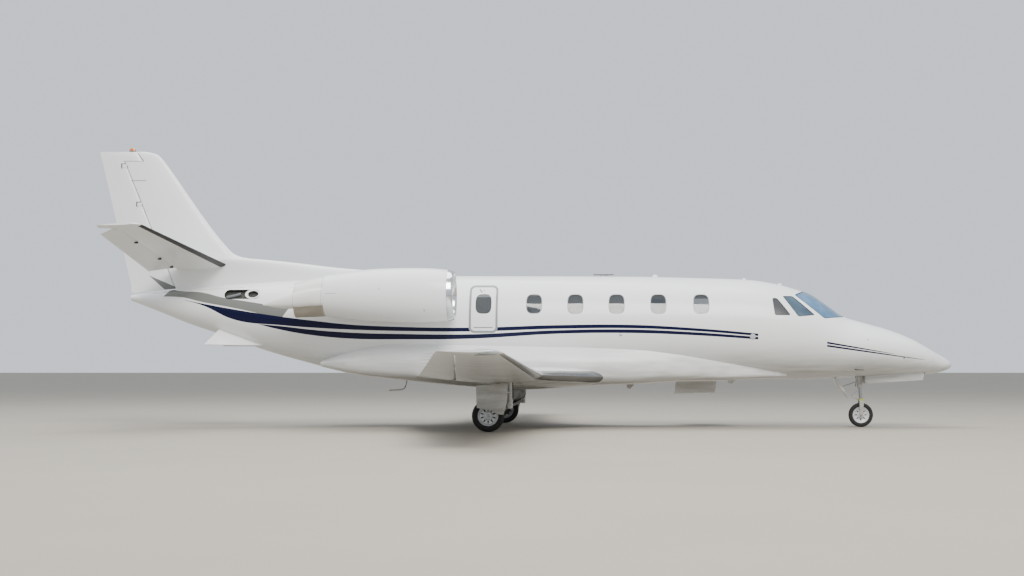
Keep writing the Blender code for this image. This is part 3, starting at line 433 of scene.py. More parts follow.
def paint_band(mat, x, z, x_unit, name, start, end, lean=0.0):
    """1 inside a painted band, 0 outside, blurred over 2 mm along it and 3 mm at its ends."""
    masks = []
    for edge, sign in (("_low", 1.0), ("_top", -1.0)):
        gap = math_node(mat, "SUBTRACT", z, edge_curve(mat, x_unit, EDGES[name + edge]))
        masks.append(math_node(mat, "MULTIPLY_ADD", gap, sign * EDGE_SHARP, True, 0.5))
    lean_x = math_node(mat, "MULTIPLY_ADD", z, lean, c=x)
    for limit, sign in ((start, 1.0), (end, -1.0)):
        gap = math_node(mat, "SUBTRACT", lean_x, limit)
        masks.append(math_node(mat, "MULTIPLY_ADD", gap, sign * END_SHARP, True, 0.5))
    total = masks[0]
    for m in masks[1:]:
        total = math_node(mat, "MULTIPLY", total, m)
    return total


NAVY = linear("030830")
SILVER = linear("717370")
# Heights between which painted surfaces darken towards the bottom: partly dust, partly painted shade.
DUST_SHADE_TOP, DUST_SHADE_FULL = 1.60, 0.75
STRIPES = (("upper", -6.3, 4.27), ("lower", -4.86, 4.27), ("nose_a", 5.53, 6.79), ("nose_b", 5.53, 7.41))


WEDGE_X = -7.06


def rudder_livery(mat, place, base):
    """The silver sweep ends in a wedge on the rudder's foot."""
    split = node(mat, "ShaderNodeSeparateXYZ", None, None, {"Vector": place})
    x, z = split.outputs[0], split.outputs[2]
    mask = math_node(mat, "GREATER_THAN", x, WEDGE_X)
    for slope, z_rear, sign in ((-0.4268, 2.845, 1.0), (-0.888, 2.840, -1.0)):
        line = math_node(mat, "ADD", math_node(mat, "MULTIPLY", x, slope), z_rear - slope * WEDGE_X)
        gap = math_node(mat, "SUBTRACT", line, z)
        mask = math_node(mat, "MULTIPLY", mask, math_node(mat, "MULTIPLY", gap, sign * 400.0, True))
    return mix_colour(mat, mask, dust_and_low_shade(mat, place, base), SILVER)


def livery(mat, place, base):
    """The silver sweep and the navy stripes over white darkened low down by dust and painted shade."""
    split = node(mat, "ShaderNodeSeparateXYZ", None, None, {"Vector": place})
    x, z = split.outputs[0], split.outputs[2]
    x_unit = node(mat, "ShaderNodeMapRange", None, {"From Min": X_LOW, "From Max": X_HIGH},
                  {"Value": x}).outputs[0]
    colour = dust_and_low_shade(mat, place, base)
    silver = paint_band(mat, x, z, x_unit, "silver", -8.55, -5.93, -0.75)
    colour = mix_colour(mat, silver, colour, SILVER)
    for name, start, end in STRIPES:
        colour = mix_colour(mat, paint_band(mat, x, z, x_unit, name, start, end), colour, NAVY)
    return colour


def dust_and_low_shade(mat, place, base):
    """Dust and painted shade: darker low down, in streaks drawn out along the airflow."""
    z = node(mat, "ShaderNodeSeparateXYZ", None, None, {"Vector": place}).outputs[2]
    low = node(mat, "ShaderNodeMapRange", None, {"From Min": DUST_SHADE_TOP, "From Max": DUST_SHADE_FULL},
               {"Value": z}).outputs[0]
    long = node(mat, "ShaderNodeMapping", None, {"Scale": (0.6, 5.0, 5.0)}, {"Vector": place}).outputs[0]
    streak = node(mat, "ShaderNodeTexNoise", None, {"Scale": 2.2, "Detail": 6.0}, {"Vector": long}).outputs[0]
    amount = math_node(mat, "MULTIPLY", low, streak)
    # The brown-grey it darkens towards stands for dust and for painted shade on the lower surfaces.
    return mix_colour(mat, amount, base, linear("6A6353"))


PAINT = dict(rough=0.22, coat=0.07, spec=0.20, patch_m=0.8, grain_mm=3.0, bump_mm=0.03, rough_play=0.04)
livery_paint = finish_of("white_livery_paint", "E9EAEA", "E1E3E4", extra=livery, **PAINT)
rudder_paint = finish_of("rudder_livery_paint", "E8E9E9", "E0E2E3", extra=rudder_livery, **PAINT)
white_paint = finish_of("white_gloss_paint", "E8E9E9", "E0E2E3", extra=dust_and_low_shade, **PAINT)
grey_paint = finish_of("grey_outline_paint", "8B8D8F", "7F8183", **PAINT)
polished = finish_of("polished_aluminium", "D9DADB", "C9CBCC", 0.16, 1.0, 0.0, 0.3, 0.8, 0.02, 0.05,
                     (1.0, 0.15, 1.0))
edge_metal = finish_of("bleed_air_leading_edge", "A3A5A7", "7F8284", 0.18, 1.0, 0.0, 0.3, 0.8, 0.02, 0.05,
                       (1.0, 0.15, 1.0))
seam_dark = finish_of("sealant_seam", "4A4B4C", "38393A", 0.6, 0.0, 0.0, 0.2, 1.0, 0.05)
boot_black = finish_of("de_ice_boot_rubber", "0F0F10", "19191A", 0.45, 0.0, 0.0, 0.25, 1.5, 0.08)
tyre_rubber = finish_of("tyre_rubber", "121213", "1E1D1C", 0.78, 0.0, 0.0, 0.12, 1.2, 0.25)
rim_paint = finish_of("wheel_silver_enamel", "D2D4D4", "C2C4C4", 0.35, 0.2, 0.2, 0.08, 1.2, 0.05)
bare_steel = finish_of("bare_steel", "A9AAAB", "8C8D8F", 0.3, 1.0, 0.0, 0.1, 0.6, 0.03)
# Heat-tinted nozzle metal; on the nozzle's lower outside this tone is partly painted shade.
hot_metal_and_shade = finish_of("heat_tinted_nozzle_and_shade", "B4AFA6", "958F85", 0.45, 0.6, 0.0, 0.15, 0.8, 0.04, 0.1)
titanium = finish_of("fan_titanium", "9B9DA1", "84868B", 0.28, 1.0, 0.0, 0.1, 0.6, 0.03)
duct_grey = finish_of("intake_lining", "6F7275", "5F6265", 0.5, 0.1, 0.0, 0.2, 2.5, 0.12)
# Dark primer; in the auxiliary exhaust's recess it is painted shade of the duct.
dark_primer_and_shade = finish_of("dark_bay_primer_and_shade", "3A3C36", "2B2C28", 0.6, 0.1, 0.0, 0.15, 2.0, 0.1)
chromate = finish_of("zinc_chromate_primer", "A9AC5E", "8D9150", 0.5, 0.0, 0.1, 0.08, 1.2, 0.06)
# Black trim; also painted shade in the wheels' recess floors and the tail's hinge slots.
black_trim_and_shade = finish_of("black_trim_plastic_and_shade", "17181A", "222326", 0.45, 0.0, 0.0, 0.1, 0.8, 0.06)
print("finishes made")

# %% [markdown]
# ## Fuselage skin
# One skin from nose to tail cone. The cabin is hollow behind it. Windows, doorway, hatch and gear
# bay are cut through, as they are on the real shell, so light falls inside and edges show depth.

# %% Skin with its openings
WALL = 0.10
WINDOW_Z, WINDOW_W, WINDOW_H = 2.27, 0.281, 0.353
HATCH_PANE_X = -0.72
WINDOWS = {1: (HATCH_PANE_X, 0.20, 0.95, 1.70, 2.46), -1: (0.20, 0.95, 1.70, 2.46, 3.24)}
HATCH_X, HATCH_Z = (-0.946, -0.494), (1.775, 2.587)
STAIR_X, STAIR_Z = (2.86, 3.67), (1.305, 2.51)


def rounded(x0, x1, z0, z1, r, count=6):
    pts = []
    corners = ((x1 - r, z1 - r), (x0 + r, z1 - r), (x0 + r, z0 + r), (x1 - r, z0 + r))
    for quarter, (cx, cz) in enumerate(corners):
        for k in range(count + 1):
            t = math.radians(90.0 * quarter + 90.0 * k / count)
            pts.append((cx + r * math.cos(t), cz + r * math.sin(t)))
    return pts


def pane_outline(x, grow=0.0):
    """Cabin window: an oval with full corners."""
    pts = []
    for t in turns(48):
        c = math.copysign(abs(math.cos(t)) ** 0.62, math.cos(t))
        s = math.copysign(abs(math.sin(t)) ** 0.62, math.sin(t))
        pts.append((x + (WINDOW_W / 2 + grow) * c, WINDOW_Z + (WINDOW_H / 2 + grow) * s))
    return pts


def soft_corners(points, r, grow=0.0, count=4):
    """Round the corners of an outline and push it out by grow."""
    pts = [Vector(p) for p in points]
    n = len(pts)
    area = sum(pts[i].x * pts[(i + 1) % n].y - pts[(i + 1) % n].x * pts[i].y for i in range(n))
    if area < 0:
        pts.reverse()
    moved = []
    for i in range(n):
        a = (pts[i] - pts[i - 1]).normalized()
        b = (pts[(i + 1) % n] - pts[i]).normalized()
        na, nb = Vector((a.y, -a.x)), Vector((b.y, -b.x))
        moved.append(pts[i] + (na + nb) * (grow / (1.0 + na.dot(nb))))
    out = []
    for i in range(n):
        p, q, s = moved[i - 1], moved[i], moved[(i + 1) % n]
        a = q + (p - q).normalized() * r
        b = q + (s - q).normalized() * r
        for k in range(count + 1):
            f = k / count
            out.append(tuple(a * (1 - f) ** 2 + q * 2 * f * (1 - f) + b * f * f))
    return out


PANE_SCREEN = ((4.985, 2.452), (5.40, 2.62), (6.04, 2.16), (5.93, 2.055), (5.50, 2.015))
PANE_SIDE = ((4.75, 2.42), (4.93, 2.42), (5.31, 2.075), (5.01, 2.045))
PANE_REAR = ((4.55, 2.38), (4.63, 2.38), (4.86, 2.07), (4.58, 2.07))
COCKPIT_PANES = ((PANE_SCREEN, 0.028), (PANE_SIDE, 0.35), (PANE_REAR, 0.35))
PANE_CORNER = 0.035


def cockpit_cutters(grow):
    return [side_cutter(soft_corners(outline, PANE_CORNER, grow), sign, inner - grow)
            for sign in (1, -1) for outline, inner in COCKPIT_PANES]


def cabin_cutters(grow):
    return [side_cutter(pane_outline(x, grow), sign, 0.5) for sign, xs in WINDOWS.items() for x in xs]


nose_xs = [7.9805, 7.976, 7.966, 7.95, 7.925, 7.89, 7.84, 7.78, 7.70, 7.60, 7.50]
hull_xs = nose_xs + steps(7.40, 4.0, 0.10) + steps(3.85, -1.5, 0.16)[:-1] + steps(-1.5, -7.38, 0.12)
outer = loft(hull_rings(hull_xs))
inner = hull_form(5.95, -1.40, 0.16, -WALL)
exit_cut = side_cutter(rounded(*HATCH_X, *HATCH_Z, 0.07), -1, 0.5)
door_cut = side_cutter(rounded(*STAIR_X, *STAIR_Z, 0.10), 1, 0.3)
bay_cut = block((6.12, 7.47), (-0.19, 0.19), (0.5, 1.42))
RECESS_X, RECESS_Z, RECESS_DEEP = (-5.54, -4.86), (2.375, 2.555), 0.06
EXHAUST_SPAN = ((-4.5, -5.9), (-4.4, -6.0))
recess = combined(side_cutter(rounded(*RECESS_X, *RECESS_Z, 0.089, 10), -1, 0.3),
                  [hull_form(*EXHAUST_SPAN[0], 0.10, -RECESS_DEEP)])
skin_body = combined(outer, [inner])
skin_body = combined(skin_body, [exit_cut, door_cut, bay_cut, recess] + cockpit_cutters(0.006)
                     + cabin_cutters(0.006))
# Faces inside the auxiliary exhaust's recess take the dark finish: painted shade of the duct behind the
# outlet.
for f in skin_body.faces:
    c = f.calc_center_median()
    within = RECESS_X[0] < c.x < RECESS_X[1] and RECESS_Z[0] < c.z < RECESS_Z[1]
    if within and 0.004 - skin_y(c.x, c.z) < c.y < 0:
        f.material_index = 1
skin_obj = mesh_piece("fuselage_skin", skin_body, [livery_paint, dark_primer_and_shade], "airframe",
                      ("fuselage_shell", "nose_section", "tail_section"), 28.0)
print("skin", len(skin_obj.data.polygons))

# %% [markdown]
# ## Panes
# Acrylic panes sit a few millimetres under the skin in a dark sealant bead. Cabin panes are a
# half-opaque grey, partly tint and partly painted shade of the cabin, with a pale pleated shade
# behind them; cockpit panes are nearly opaque, with a painted reflection of the sky as a blue-grey sheen.

# %% Glass, beads and shades
def glass_finish(name, light, dark, clear, rough=0.05, coat=1.0, spec=0.5):
    mat = finish_of(name, light, dark, rough, 0.0, coat, 0.25, 5.0, 0.01, 0.01, spec=spec)
    shader = mat.node_tree.nodes["Principled BSDF"]
    shader.inputs["Alpha"].default_value = clear
    shader.inputs["IOR"].default_value = 1.49
    return mat


# Cabin panes are half-opaque grey: partly the acrylic's tint, partly painted shade of the cabin behind.
cabin_glass_tint_and_shade = glass_finish("cabin_acrylic_tint_and_shade", "3A4046", "33393F", 0.52)
# Cockpit panes are nearly opaque. Their blue and grey tones are a painted reflection of the sky, darker on
# the quarter pane.
cockpit_glass_sky_sheen = glass_finish("cockpit_acrylic_painted_sky_sheen", "6F93B4", "1F4161", 0.96, 0.22, 0.0, 0.2)
side_glass_sky_sheen = glass_finish("side_acrylic_painted_sky_sheen", "5F7384", "2C3B49", 0.96, 0.22, 0.0, 0.2)
quarter_glass_sheen_and_shade = glass_finish("quarter_acrylic_painted_sheen_and_shade", "505154", "3A3B3E", 0.96, 0.22, 0.0, 0.2)
shade_cloth = finish_of("pleated_shade", "C2C1BB", "B0AFA8", 0.8, 0.0, 0.0, 0.1, 6.0, 0.6, 0.05,
                        (1.0, 1.0, 6.0))
CABIN_SPAN = ((6.02, -1.45), (6.04, -1.50))
cabin_panes = skin_slab(merged(*cabin_cutters(-0.004)), CABIN_SPAN, 0.08, -0.008, -0.018)
mesh_piece("cabin_window_panes", cabin_panes, cabin_glass_tint_and_shade, "airframe", ("window_belt_L", "window_belt_R"))


def pane_patch(outline, sign, inner, grow, depth):
    """The hull's own surface at a depth, trimmed by one flat cut along each edge of an outline."""
    bm = hull_form(6.20, 4.40, 0.04, -depth)
    points = [Vector((x, 0.0, z)) for x, z in soft_corners(outline, PANE_CORNER, grow)]
    middle = sum(points, Vector()) / len(points)
    cuts = [(Vector((0.0, sign * (inner - grow), 0.0)), Vector((0.0, -sign, 0.0)))]
    for a, b in zip(points, points[1:] + points[:1]):
        if (b - a).length > 1e-4:
            away = (b - a).cross(Vector((0.0, 1.0, 0.0))).normalized()
            cuts.append((a, away if away.dot(a - middle) > 0 else -away))
    for point, away in cuts:
        bmesh.ops.bisect_plane(bm, geom=bm.verts[:] + bm.edges[:] + bm.faces[:], dist=1e-6, plane_co=point,
                               plane_no=away, clear_outer=True)
    bmesh.ops.remove_doubles(bm, verts=bm.verts[:], dist=1e-4)
    return bm


def rim_path(bm, spacing=0.010):
    """The open edge of a patch as one closed line of points."""
    edge = next(e for e in bm.edges if e.is_boundary)
    start, vert = edge.verts
    path = [start.co.copy()]
    while vert is not start:
        if (vert.co - path[-1]).length > spacing:
            path.append(vert.co.copy())
        edge = next(e for e in vert.link_edges if e.is_boundary and e is not edge)
        vert = edge.other_vert(vert)
    return path + path[:2]


front_panes, front_beads = [], []
for sign in (1, -1):
    for slot, (outline, inner) in enumerate(COCKPIT_PANES):
        rim = pane_patch(outline, sign, inner, 0.001, 0.003)
        front_beads.append(tube(rim_path(rim), 0.0068, 10))
        rim.free()
        pane = tint(pane_patch(outline, sign, inner, 0.004, 0.007), slot)
        bmesh.ops.solidify(pane, geom=pane.faces[:], thickness=0.010)
        front_panes.append(pane)
mesh_piece("cockpit_panes", merged(*front_panes), [cockpit_glass_sky_sheen, side_glass_sky_sheen, quarter_glass_sheen_and_shade], "airframe",
           ("cockpit_glazing",))
mesh_piece("cockpit_window_beads", merged(*front_beads), seam_dark, "airframe")
beads = skin_slab(merged(*cabin_cutters(0.0055)), CABIN_SPAN, 0.08, -0.002, -0.022)
mesh_piece("cabin_window_beads", combined(beads, [merged(*cabin_cutters(-0.006))]), grey_paint, "airframe")
SHADE_TOP, SHADE_DEEP, PLEAT = 0.18, 0.055, 0.006
shades = []
for sign, xs in WINDOWS.items():
    for x in xs:
        rows = []
        drawn = 0.10 if x > 2.0 else -0.02
        for k in range(25):
            z = WINDOW_Z + drawn + (SHADE_TOP - drawn) * k / 24
            deep = SHADE_DEEP + (PLEAT if k % 2 else 0.0)
            rows.append([(x + dx, sign * (skin_y(x, z) - deep), z) for dx in (-0.15, 0.0, 0.15)])
        bm = bmesh.new()
        grid = [[bm.verts.new(p) for p in row] for row in rows]
        for a, b in zip(grid, grid[1:]):
            for i in range(2):
                if sign < 0:
                    bm.faces.new((a[i], a[i + 1], b[i + 1], b[i]))
                else:
                    bm.faces.new((a[i + 1], a[i], b[i], b[i + 1]))
        shades.append(bm)
mesh_piece("window_shades", merged(*shades), shade_cloth, "airframe", smooth=20.0)
print("panes made")

# %% [markdown]
# ## Wing, fairing and tail
# The fairing wraps the wing's root in one smooth shell. The wing is a thin loft whose leading edge
# is bare polished aluminium, because warm bleed air runs behind it and paint would burn off.
# Flaps and ailerons are their own pieces on their hinge lines.

# %% Wing stations and sections
WING = (
    (0.70, 1.62, -1.95, 0.930, 0.100), (1.05, 1.42, -1.90, 0.945, 0.104),
    (1.45, 1.03, -1.855, 0.957, 0.110), (1.95, 0.63, -1.775, 0.969, 0.118),
    (2.50, 0.39, -1.690, 0.985, 0.122), (8.30, 0.105, -0.785, 1.295, 0.100),
    (8.50, 0.060, -0.750, 1.306, 0.085), (8.585, -0.08, -0.70, 1.310, 0.050),
)
HINGE_CHORD = 0.735
FLAP_Y, AILERON_Y = (1.42, 5.25), (5.33, 8.20)
TAIL = (
    (0.00, -5.566, -6.96, 3.020, 0.090), (0.60, -5.693, -6.96, 3.109, 0.092),
    (3.10, -6.220, -6.97, 3.477, 0.095), (3.22, -6.270, -6.965, 3.493, 0.080),
    (3.27, -6.380, -6.930, 3.497, 0.060),
)
FINE_CHORD = cosine_steps(28)
FAIR_Y, OUTER_Y = 2.9, 2.5
HINGE_GAP = 0.006
BARE_SHARE, BOOT_SHARE = 0.052, 0.085


def half_thick(c, thick):
    body = 0.2969 * math.sqrt(c) - 0.1260 * c - 0.3516 * c * c + 0.2843 * c ** 3 - 0.1036 * c ** 4
    return 5.0 * thick * body


def between(table, y):
    for a, b in zip(table, table[1:]):
        if a[0] <= y <= b[0]:
            f = (y - a[0]) / (b[0] - a[0])
            return [a[i] + (b[i] - a[i]) * f for i in range(1, len(a))]
    raise ValueError(y)


def foil(lead, trail, z, thick, y, chords=FINE_CHORD):
    chord = lead - trail
    up = [(lead - c * chord, y, z + max(0.002, half_thick(c, thick) * chord)) for c in chords]
    low = [(lead - c * chord, y, z - max(0.002, half_thick(c, thick) * chord)) for c in chords]
    return list(reversed(up)) + low


def hinge_at(table, y, share=HINGE_CHORD):
    lead, trail, z, thick = between(table, y)
    chord = lead - trail
    return lead - share * chord, z, half_thick(share, thick) * chord


WING_YS = [0.70, 0.9, 1.05, 1.2, 1.32, 1.45, 1.6, 1.78, 1.95, 2.1, 2.25, 2.38, 2.5, 2.7, 3.2, 4.0, 5.0, 6.0,
           7.0, 8.0, 8.3, 8.4, 8.5, 8.55, 8.575, 8.585]
WING_FAIR = np.array(WING)


def wing_at(y):
    """Stations faired near the glove, straight along the outer panel."""
    if y < FAIR_Y:
        return fair(np.vstack([WING_FAIR[:5], [FAIR_Y, *between(WING, FAIR_Y)]]), y)
    return between(WING, y)


def wing_hinge(y):
    """Point on the straight hinge axis of the outer panel, carried inboard, and the half thickness there."""
    if y >= OUTER_Y:
        return hinge_at(WING, y)
    x0, x1 = hinge_at(WING, OUTER_Y)[0], hinge_at(WING, FLAP_Y[1])[0]
    hx = x0 + (x1 - x0) * (y - OUTER_Y) / (FLAP_Y[1] - OUTER_Y)
    lead, trail, z, thick = wing_at(y)
    return hx, z, half_thick((lead - hx) / (lead - trail), thick) * (lead - trail)


def slot_ring(hinge, y, tall, deep):
    """Square section of the room that a hinged surface leaves behind the skin's edge."""
    hx, hz, r = hinge
    x = hx + r + HINGE_GAP
    return [(x, y, hz + tall), (x, y, hz - tall), (x - deep, y, hz - tall), (x - deep, y, hz + tall)]


def slot_body(low, high):
    ys = [low] + [y for y in WING_YS if low < y < high] + [high]
    return loft([slot_ring(wing_hinge(y), y, 0.4, 2.5) for y in ys])


def round_nose(r):
    """Half circle ahead of a hinge, from top to bottom."""
    angles = [math.radians(90.0 - 15.0 * i) for i in range(13)]
    return [(r * math.cos(t), r * math.sin(t)) for t in angles]


def moving_surface(low, high, count=16):
    """Rear part of the wing's section with a round nose about the hinge line."""
    rings = []
    for k in range(count + 1):
        y = low + (high - low) * k / count
        hx, hz, r = wing_hinge(y)
        lead, trail, z, thick = wing_at(y)
        chord = lead - trail
        share = (lead - hx) / chord
        rear = [share + (1.0 - share) * f for f in (0.25, 0.55, 0.81, 1.0)]
        ring = round_nose(r)
        ring += [(-(c - share) * chord, -max(0.003, half_thick(c, thick) * chord)) for c in rear]
        ring += [(-(c - share) * chord, max(0.003, half_thick(c, thick) * chord)) for c in reversed(rear)]
        rings.append([(hx + a, y, hz + b) for a, b in ring])
    return loft(rings)

# %% Wing, flaps and ailerons
def leading_edge(bm, table_at, share, low, high):
    """Second finish on the faces ahead of a share of the chord, between two distances outboard."""
    for f in bm.faces:
        c = f.calc_center_median()
        y = abs(c.y)
        if low < y < high:
            lead, trail = table_at(y)[:2]
            if (lead - c.x) / (lead - trail) < share:
                f.material_index = 1


wing_well = tube([(-0.52, 1.42, 0.3), (-0.52, 1.42, 0.985)], 0.33, 48)
leg_well = block((-0.36, 0.03), (1.30, 2.42), (0.3, 0.965))
wing_bm = loft([foil(*wing_at(y), y) for y in WING_YS])
wing_bm = combined(wing_bm, [slot_body(*FLAP_Y), slot_body(*AILERON_Y), wing_well, leg_well])
leading_edge(wing_bm, wing_at, BARE_SHARE, 0.72, 8.33)
pair("wing_skin_", wing_bm, [white_paint, edge_metal], gone="wing_", smooth=32.0)
for name, (low, high) in (("flap", FLAP_Y), ("aileron", AILERON_Y)):
    surface = moving_surface(low + HINGE_GAP, high - HINGE_GAP)
    pair(name + "_skin_", surface, [white_paint], name + "_body_", name + "_", 32.0)
print("wings made")

# %% [markdown]
# The fairing is a loft of U-shaped sections, as an aerodynamicist would draw it: flat below, full at
# the flank, and feathered out against the tube. Its upper edge is a visible soft line on the body.

# %% Belly fairing
FAIRING = np.array((
    (4.85, 0.935, 1.000, 0.30), (4.33, 0.905, 1.090, 0.56), (3.61, 0.868, 1.215, 0.74),
    (2.865, 0.856, 1.340, 0.86), (2.12, 0.810, 1.430, 0.965), (1.20, 0.775, 1.470, 1.030),
    (0.00, 0.712, 1.500, 1.045), (-1.20, 0.780, 1.520, 1.045), (-2.37, 0.895, 1.535, 1.020),
    (-3.06, 0.975, 1.430, 0.955), (-3.70, 1.120, 1.260, 0.780),
))[::-1]


def smooth_open(points, per=6):
    """Catmull-Rom through points, ends kept."""
    pts = [points[0]] + list(points) + [points[-1]]
    out = []
    for i in range(1, len(pts) - 2):
        p0, p1, p2, p3 = (np.array(pts[i + k - 1], float) for k in range(4))
        for k in range(per):
            f = k / per
            out.append(0.5 * (2 * p1 + (p2 - p0) * f + (2 * p0 - 5 * p1 + 4 * p2 - p3) * f * f
                              + (3 * p1 - p0 - 3 * p2 + p3) * f ** 3))
    return [tuple(p) for p in out + [np.array(pts[-2], float)]]


rings = []
for x in steps(4.85, -3.70, 0.10):
    low, high, half = fair(FAIRING, x)
    edge = skin_y(x, high) + 0.003
    half = max(half, edge)
    tall = high - low
    right = [(0.0, low), (0.50 * half, low), (0.80 * half, low + 0.05 * tall),
             (0.95 * half, low + 0.17 * tall), (half, low + 0.38 * tall), (half, low + 0.62 * tall),
             ((half + edge) / 2, low + 0.84 * tall), (edge, high)]
    right = smooth_open(right, 5) + [(edge - 0.06, high - 0.01)]
    rings.append([(x, -a, b) for a, b in reversed(right)] + [(x, a, b) for a, b in right[1:]])
fairing = loft(rings)
stair_room = block((STAIR_X[0] - 0.02, STAIR_X[1] + 0.02), (0.70, 1.4), (0.7, 1.7))
fairing = combined(fairing, [wing_well, flipped(wing_well), leg_well, flipped(leg_well), stair_room])
mesh_piece("belly_fairing_skin", fairing, [white_paint], "airframe", ("belly_fairing",), 40.0)

# %% [markdown]
# The fin is a stack of level sections whose leading edge sweeps down into a long dorsal fillet. A
# horn on the rudder runs over the fin's top. The tailplane has black de-icing boots glued along
# its leading edges, and its elevators hang a little when the aircraft is parked.

# %% Fin and rudder
FIN = np.array((
    (2.45, -1.95, 0.058), (2.84, -1.95, 0.058), (2.91, -2.60, 0.062), (2.99, -3.55, 0.072),
    (3.07, -4.23, 0.084), (3.12, -4.69, 0.094), (3.17, -5.24, 0.106), (3.24, -5.46, 0.112),
    (3.36, -5.59, 0.112), (3.86, -5.99, 0.110), (4.30, -6.30, 0.107), (4.89, -6.71, 0.102),
    (5.02, -6.81, 0.100), (5.08, -6.87, 0.098), (5.13, -6.96, 0.090), (5.16, -7.12, 0.080),
))
RUDDER_HINGE = ((-6.61, 2.60), (-7.53, 4.915))
FIN_TRAIL = ((-7.365, 2.52), (-7.98, 5.16))


def line_at(first, last, level):
    """First coordinate of a straight line through two points, where the second has a value."""
    return first[0] + (last[0] - first[0]) * (level - first[1]) / (last[1] - first[1])


def rudder_x(z):
    return line_at(*RUDDER_HINGE, z)


def fin_trail(z):
    return line_at(*FIN_TRAIL, z)


def fin_half(x, z):
    lead, thick = fair(FIN, z)
    chord = lead - fin_trail(z)
    c = min(1.0, max(0.0, (lead - x) / chord))
    return max(0.0018, half_thick(c, thick) * chord)


fin_zs = steps(2.45, 2.84, 0.2) + steps(2.86, 3.40, 0.03) + steps(3.46, 4.86, 0.14) + steps(4.90, 5.16, 0.02)
rings = []
for z in fin_zs:
    lead = fair(FIN, z)[0]
    back_x = rudder_x(z) + 0.066
    xs = [lead + (back_x - lead) * c for c in cosine_steps(20)]
    port = [(x, fin_half(x, z) if i else 0.0, z) for i, x in enumerate(xs)]
    rings.append(port + [(x, -h, z) for x, h, z in reversed(port[1:])])
fin_bm = loft(rings)
horn_room = prism(((-7.359, 5.3), (-7.136, 4.975), (-8.2, 4.975), (-8.2, 5.3)), "Y", -0.3, 0.3)
fin_bm = combined(fin_bm, [horn_room])
mesh_piece("fin_skin", fin_bm, [white_paint], "airframe", ("fin",), 30.0)


def upright(z, xs, tilt=0.0):
    """Level ring through (x, half width) pairs; a tilt slopes it along x."""
    ring = [(x, h, z + tilt * (xs[0][0] - x)) for x, h in xs]
    return ring + [(x, -h, zz) for x, h, zz in reversed(ring)]


rings = []
for z in steps(2.595, 4.985, 0.12):
    hx = rudder_x(z)
    r = fin_half(hx, z)
    trail = fin_trail(z)
    xs = [(hx + r * math.cos(math.radians(a)), max(0.0005, r * math.sin(math.radians(a))))
          for a in range(0, 91, 15)]
    xs += [(hx + (trail - hx) * c, fin_half(hx + (trail - hx) * c, z)) for c in (0.2, 0.4, 0.6, 0.8, 1.0)]
    rings.append(upright(z, xs, tilt=-0.10 if z < 2.6 else 0.0))
rudder_main = loft(rings)
rings = []
for z in steps(4.985, 5.15, 0.033) + [5.158]:
    f = (z - 4.985) / 0.175
    front = -7.158 - 0.117 * f
    trail = fin_trail(z)
    shrink = 1.0 if z < 5.14 else 0.82
    xs = []
    for c in (0.0, 0.02, 0.05, 0.1, 0.25, 0.45, 0.65, 0.85, 1.0):
        x = front + (trail - front) * c
        xs.append((x, fin_half(x, z) * min(1.0, 0.25 + 9.0 * c) * shrink))
    rings.append(upright(z, xs))
mesh_piece("rudder_skin", merged(rudder_main, loft(rings)), [rudder_paint], "rudder_body", ("rudder",), 30.0)

# %% Tailplane with boots, elevators, strakes
ELEVATOR_Y = (0.20, 3.08)
ELEVATOR_DROOP = math.radians(22.0)
TAIL_SET = 0.05
TAIL_HINGE = ((-6.53, 0.0), (-6.665, 3.10))


def elevator_hinge(y):
    x = line_at(*TAIL_HINGE, y)
    lead, trail, z, thick = between(TAIL, min(y, TAIL[-1][0]))
    return x, z - TAIL_SET * (lead - x), half_thick((lead - x) / (lead - trail), thick) * (lead - trail)


def tail_at(y):
    return between(TAIL, y)


def tail_foil(y):
    lead = tail_at(y)[0]
    return [(px, py, pz - TAIL_SET * (lead - px)) for px, py, pz in foil(*tail_at(y), y)]


tail_ys = [0.0, 0.1, 0.3, 0.6, 1.1, 1.6, 2.1, 2.6, 3.0, 3.1, 3.16, 3.22, 3.25, 3.27]
tail_bm = loft([tail_foil(y) for y in tail_ys])
slot_ends = ((0.0, -0.01), (ELEVATOR_Y[1], ELEVATOR_Y[1]))
tail_bm = combined(tail_bm, [loft([slot_ring(elevator_hinge(y), end, 0.35, 1.5) for y, end in slot_ends])])
leading_edge(tail_bm, tail_at, BOOT_SHARE, 0.16, 3.17)
mesh_piece("tailplane_skin", merged(tail_bm, flipped(tail_bm)), [white_paint, boot_black], "airframe",
           ("tailplane",), 32.0)


def elevator_bm():
    """Elevator drooped about its hinge, its inboard corner cut back beside the rudder."""
    rings = []
    for k in [0, *range(2, 13)]:
        y = ELEVATOR_Y[0] + (ELEVATOR_Y[1] - HINGE_GAP - ELEVATOR_Y[0]) * k / 12
        hx, hz, r = elevator_hinge(y)
        ty = y + (0.27 if k == 0 else 0.0)
        tx, tz, tr = elevator_hinge(ty)
        long = tx - tail_at(ty)[1]
        ring = [(hx + a, y, hz + b) for a, b in round_nose(r)]
        for f, side in ((0.35, -1), (0.7, -1), (1.0, -1), (1.0, 1), (0.7, 1), (0.35, 1)):
            h = max(0.003, tr * (1 - f) * 0.95)
            a, b = -long * f, side * h
            turned_x = a * math.cos(ELEVATOR_DROOP) + b * math.sin(ELEVATOR_DROOP)
            turned_z = a * math.sin(ELEVATOR_DROOP) + b * math.cos(ELEVATOR_DROOP)
            px, pz = tx + turned_x + (hx - tx) * (1 - f), tz + turned_z + (hz - tz) * (1 - f)
            ring.append((px, y + (ty - y) * f, pz))
        rings.append(ring)
    return loft(rings)


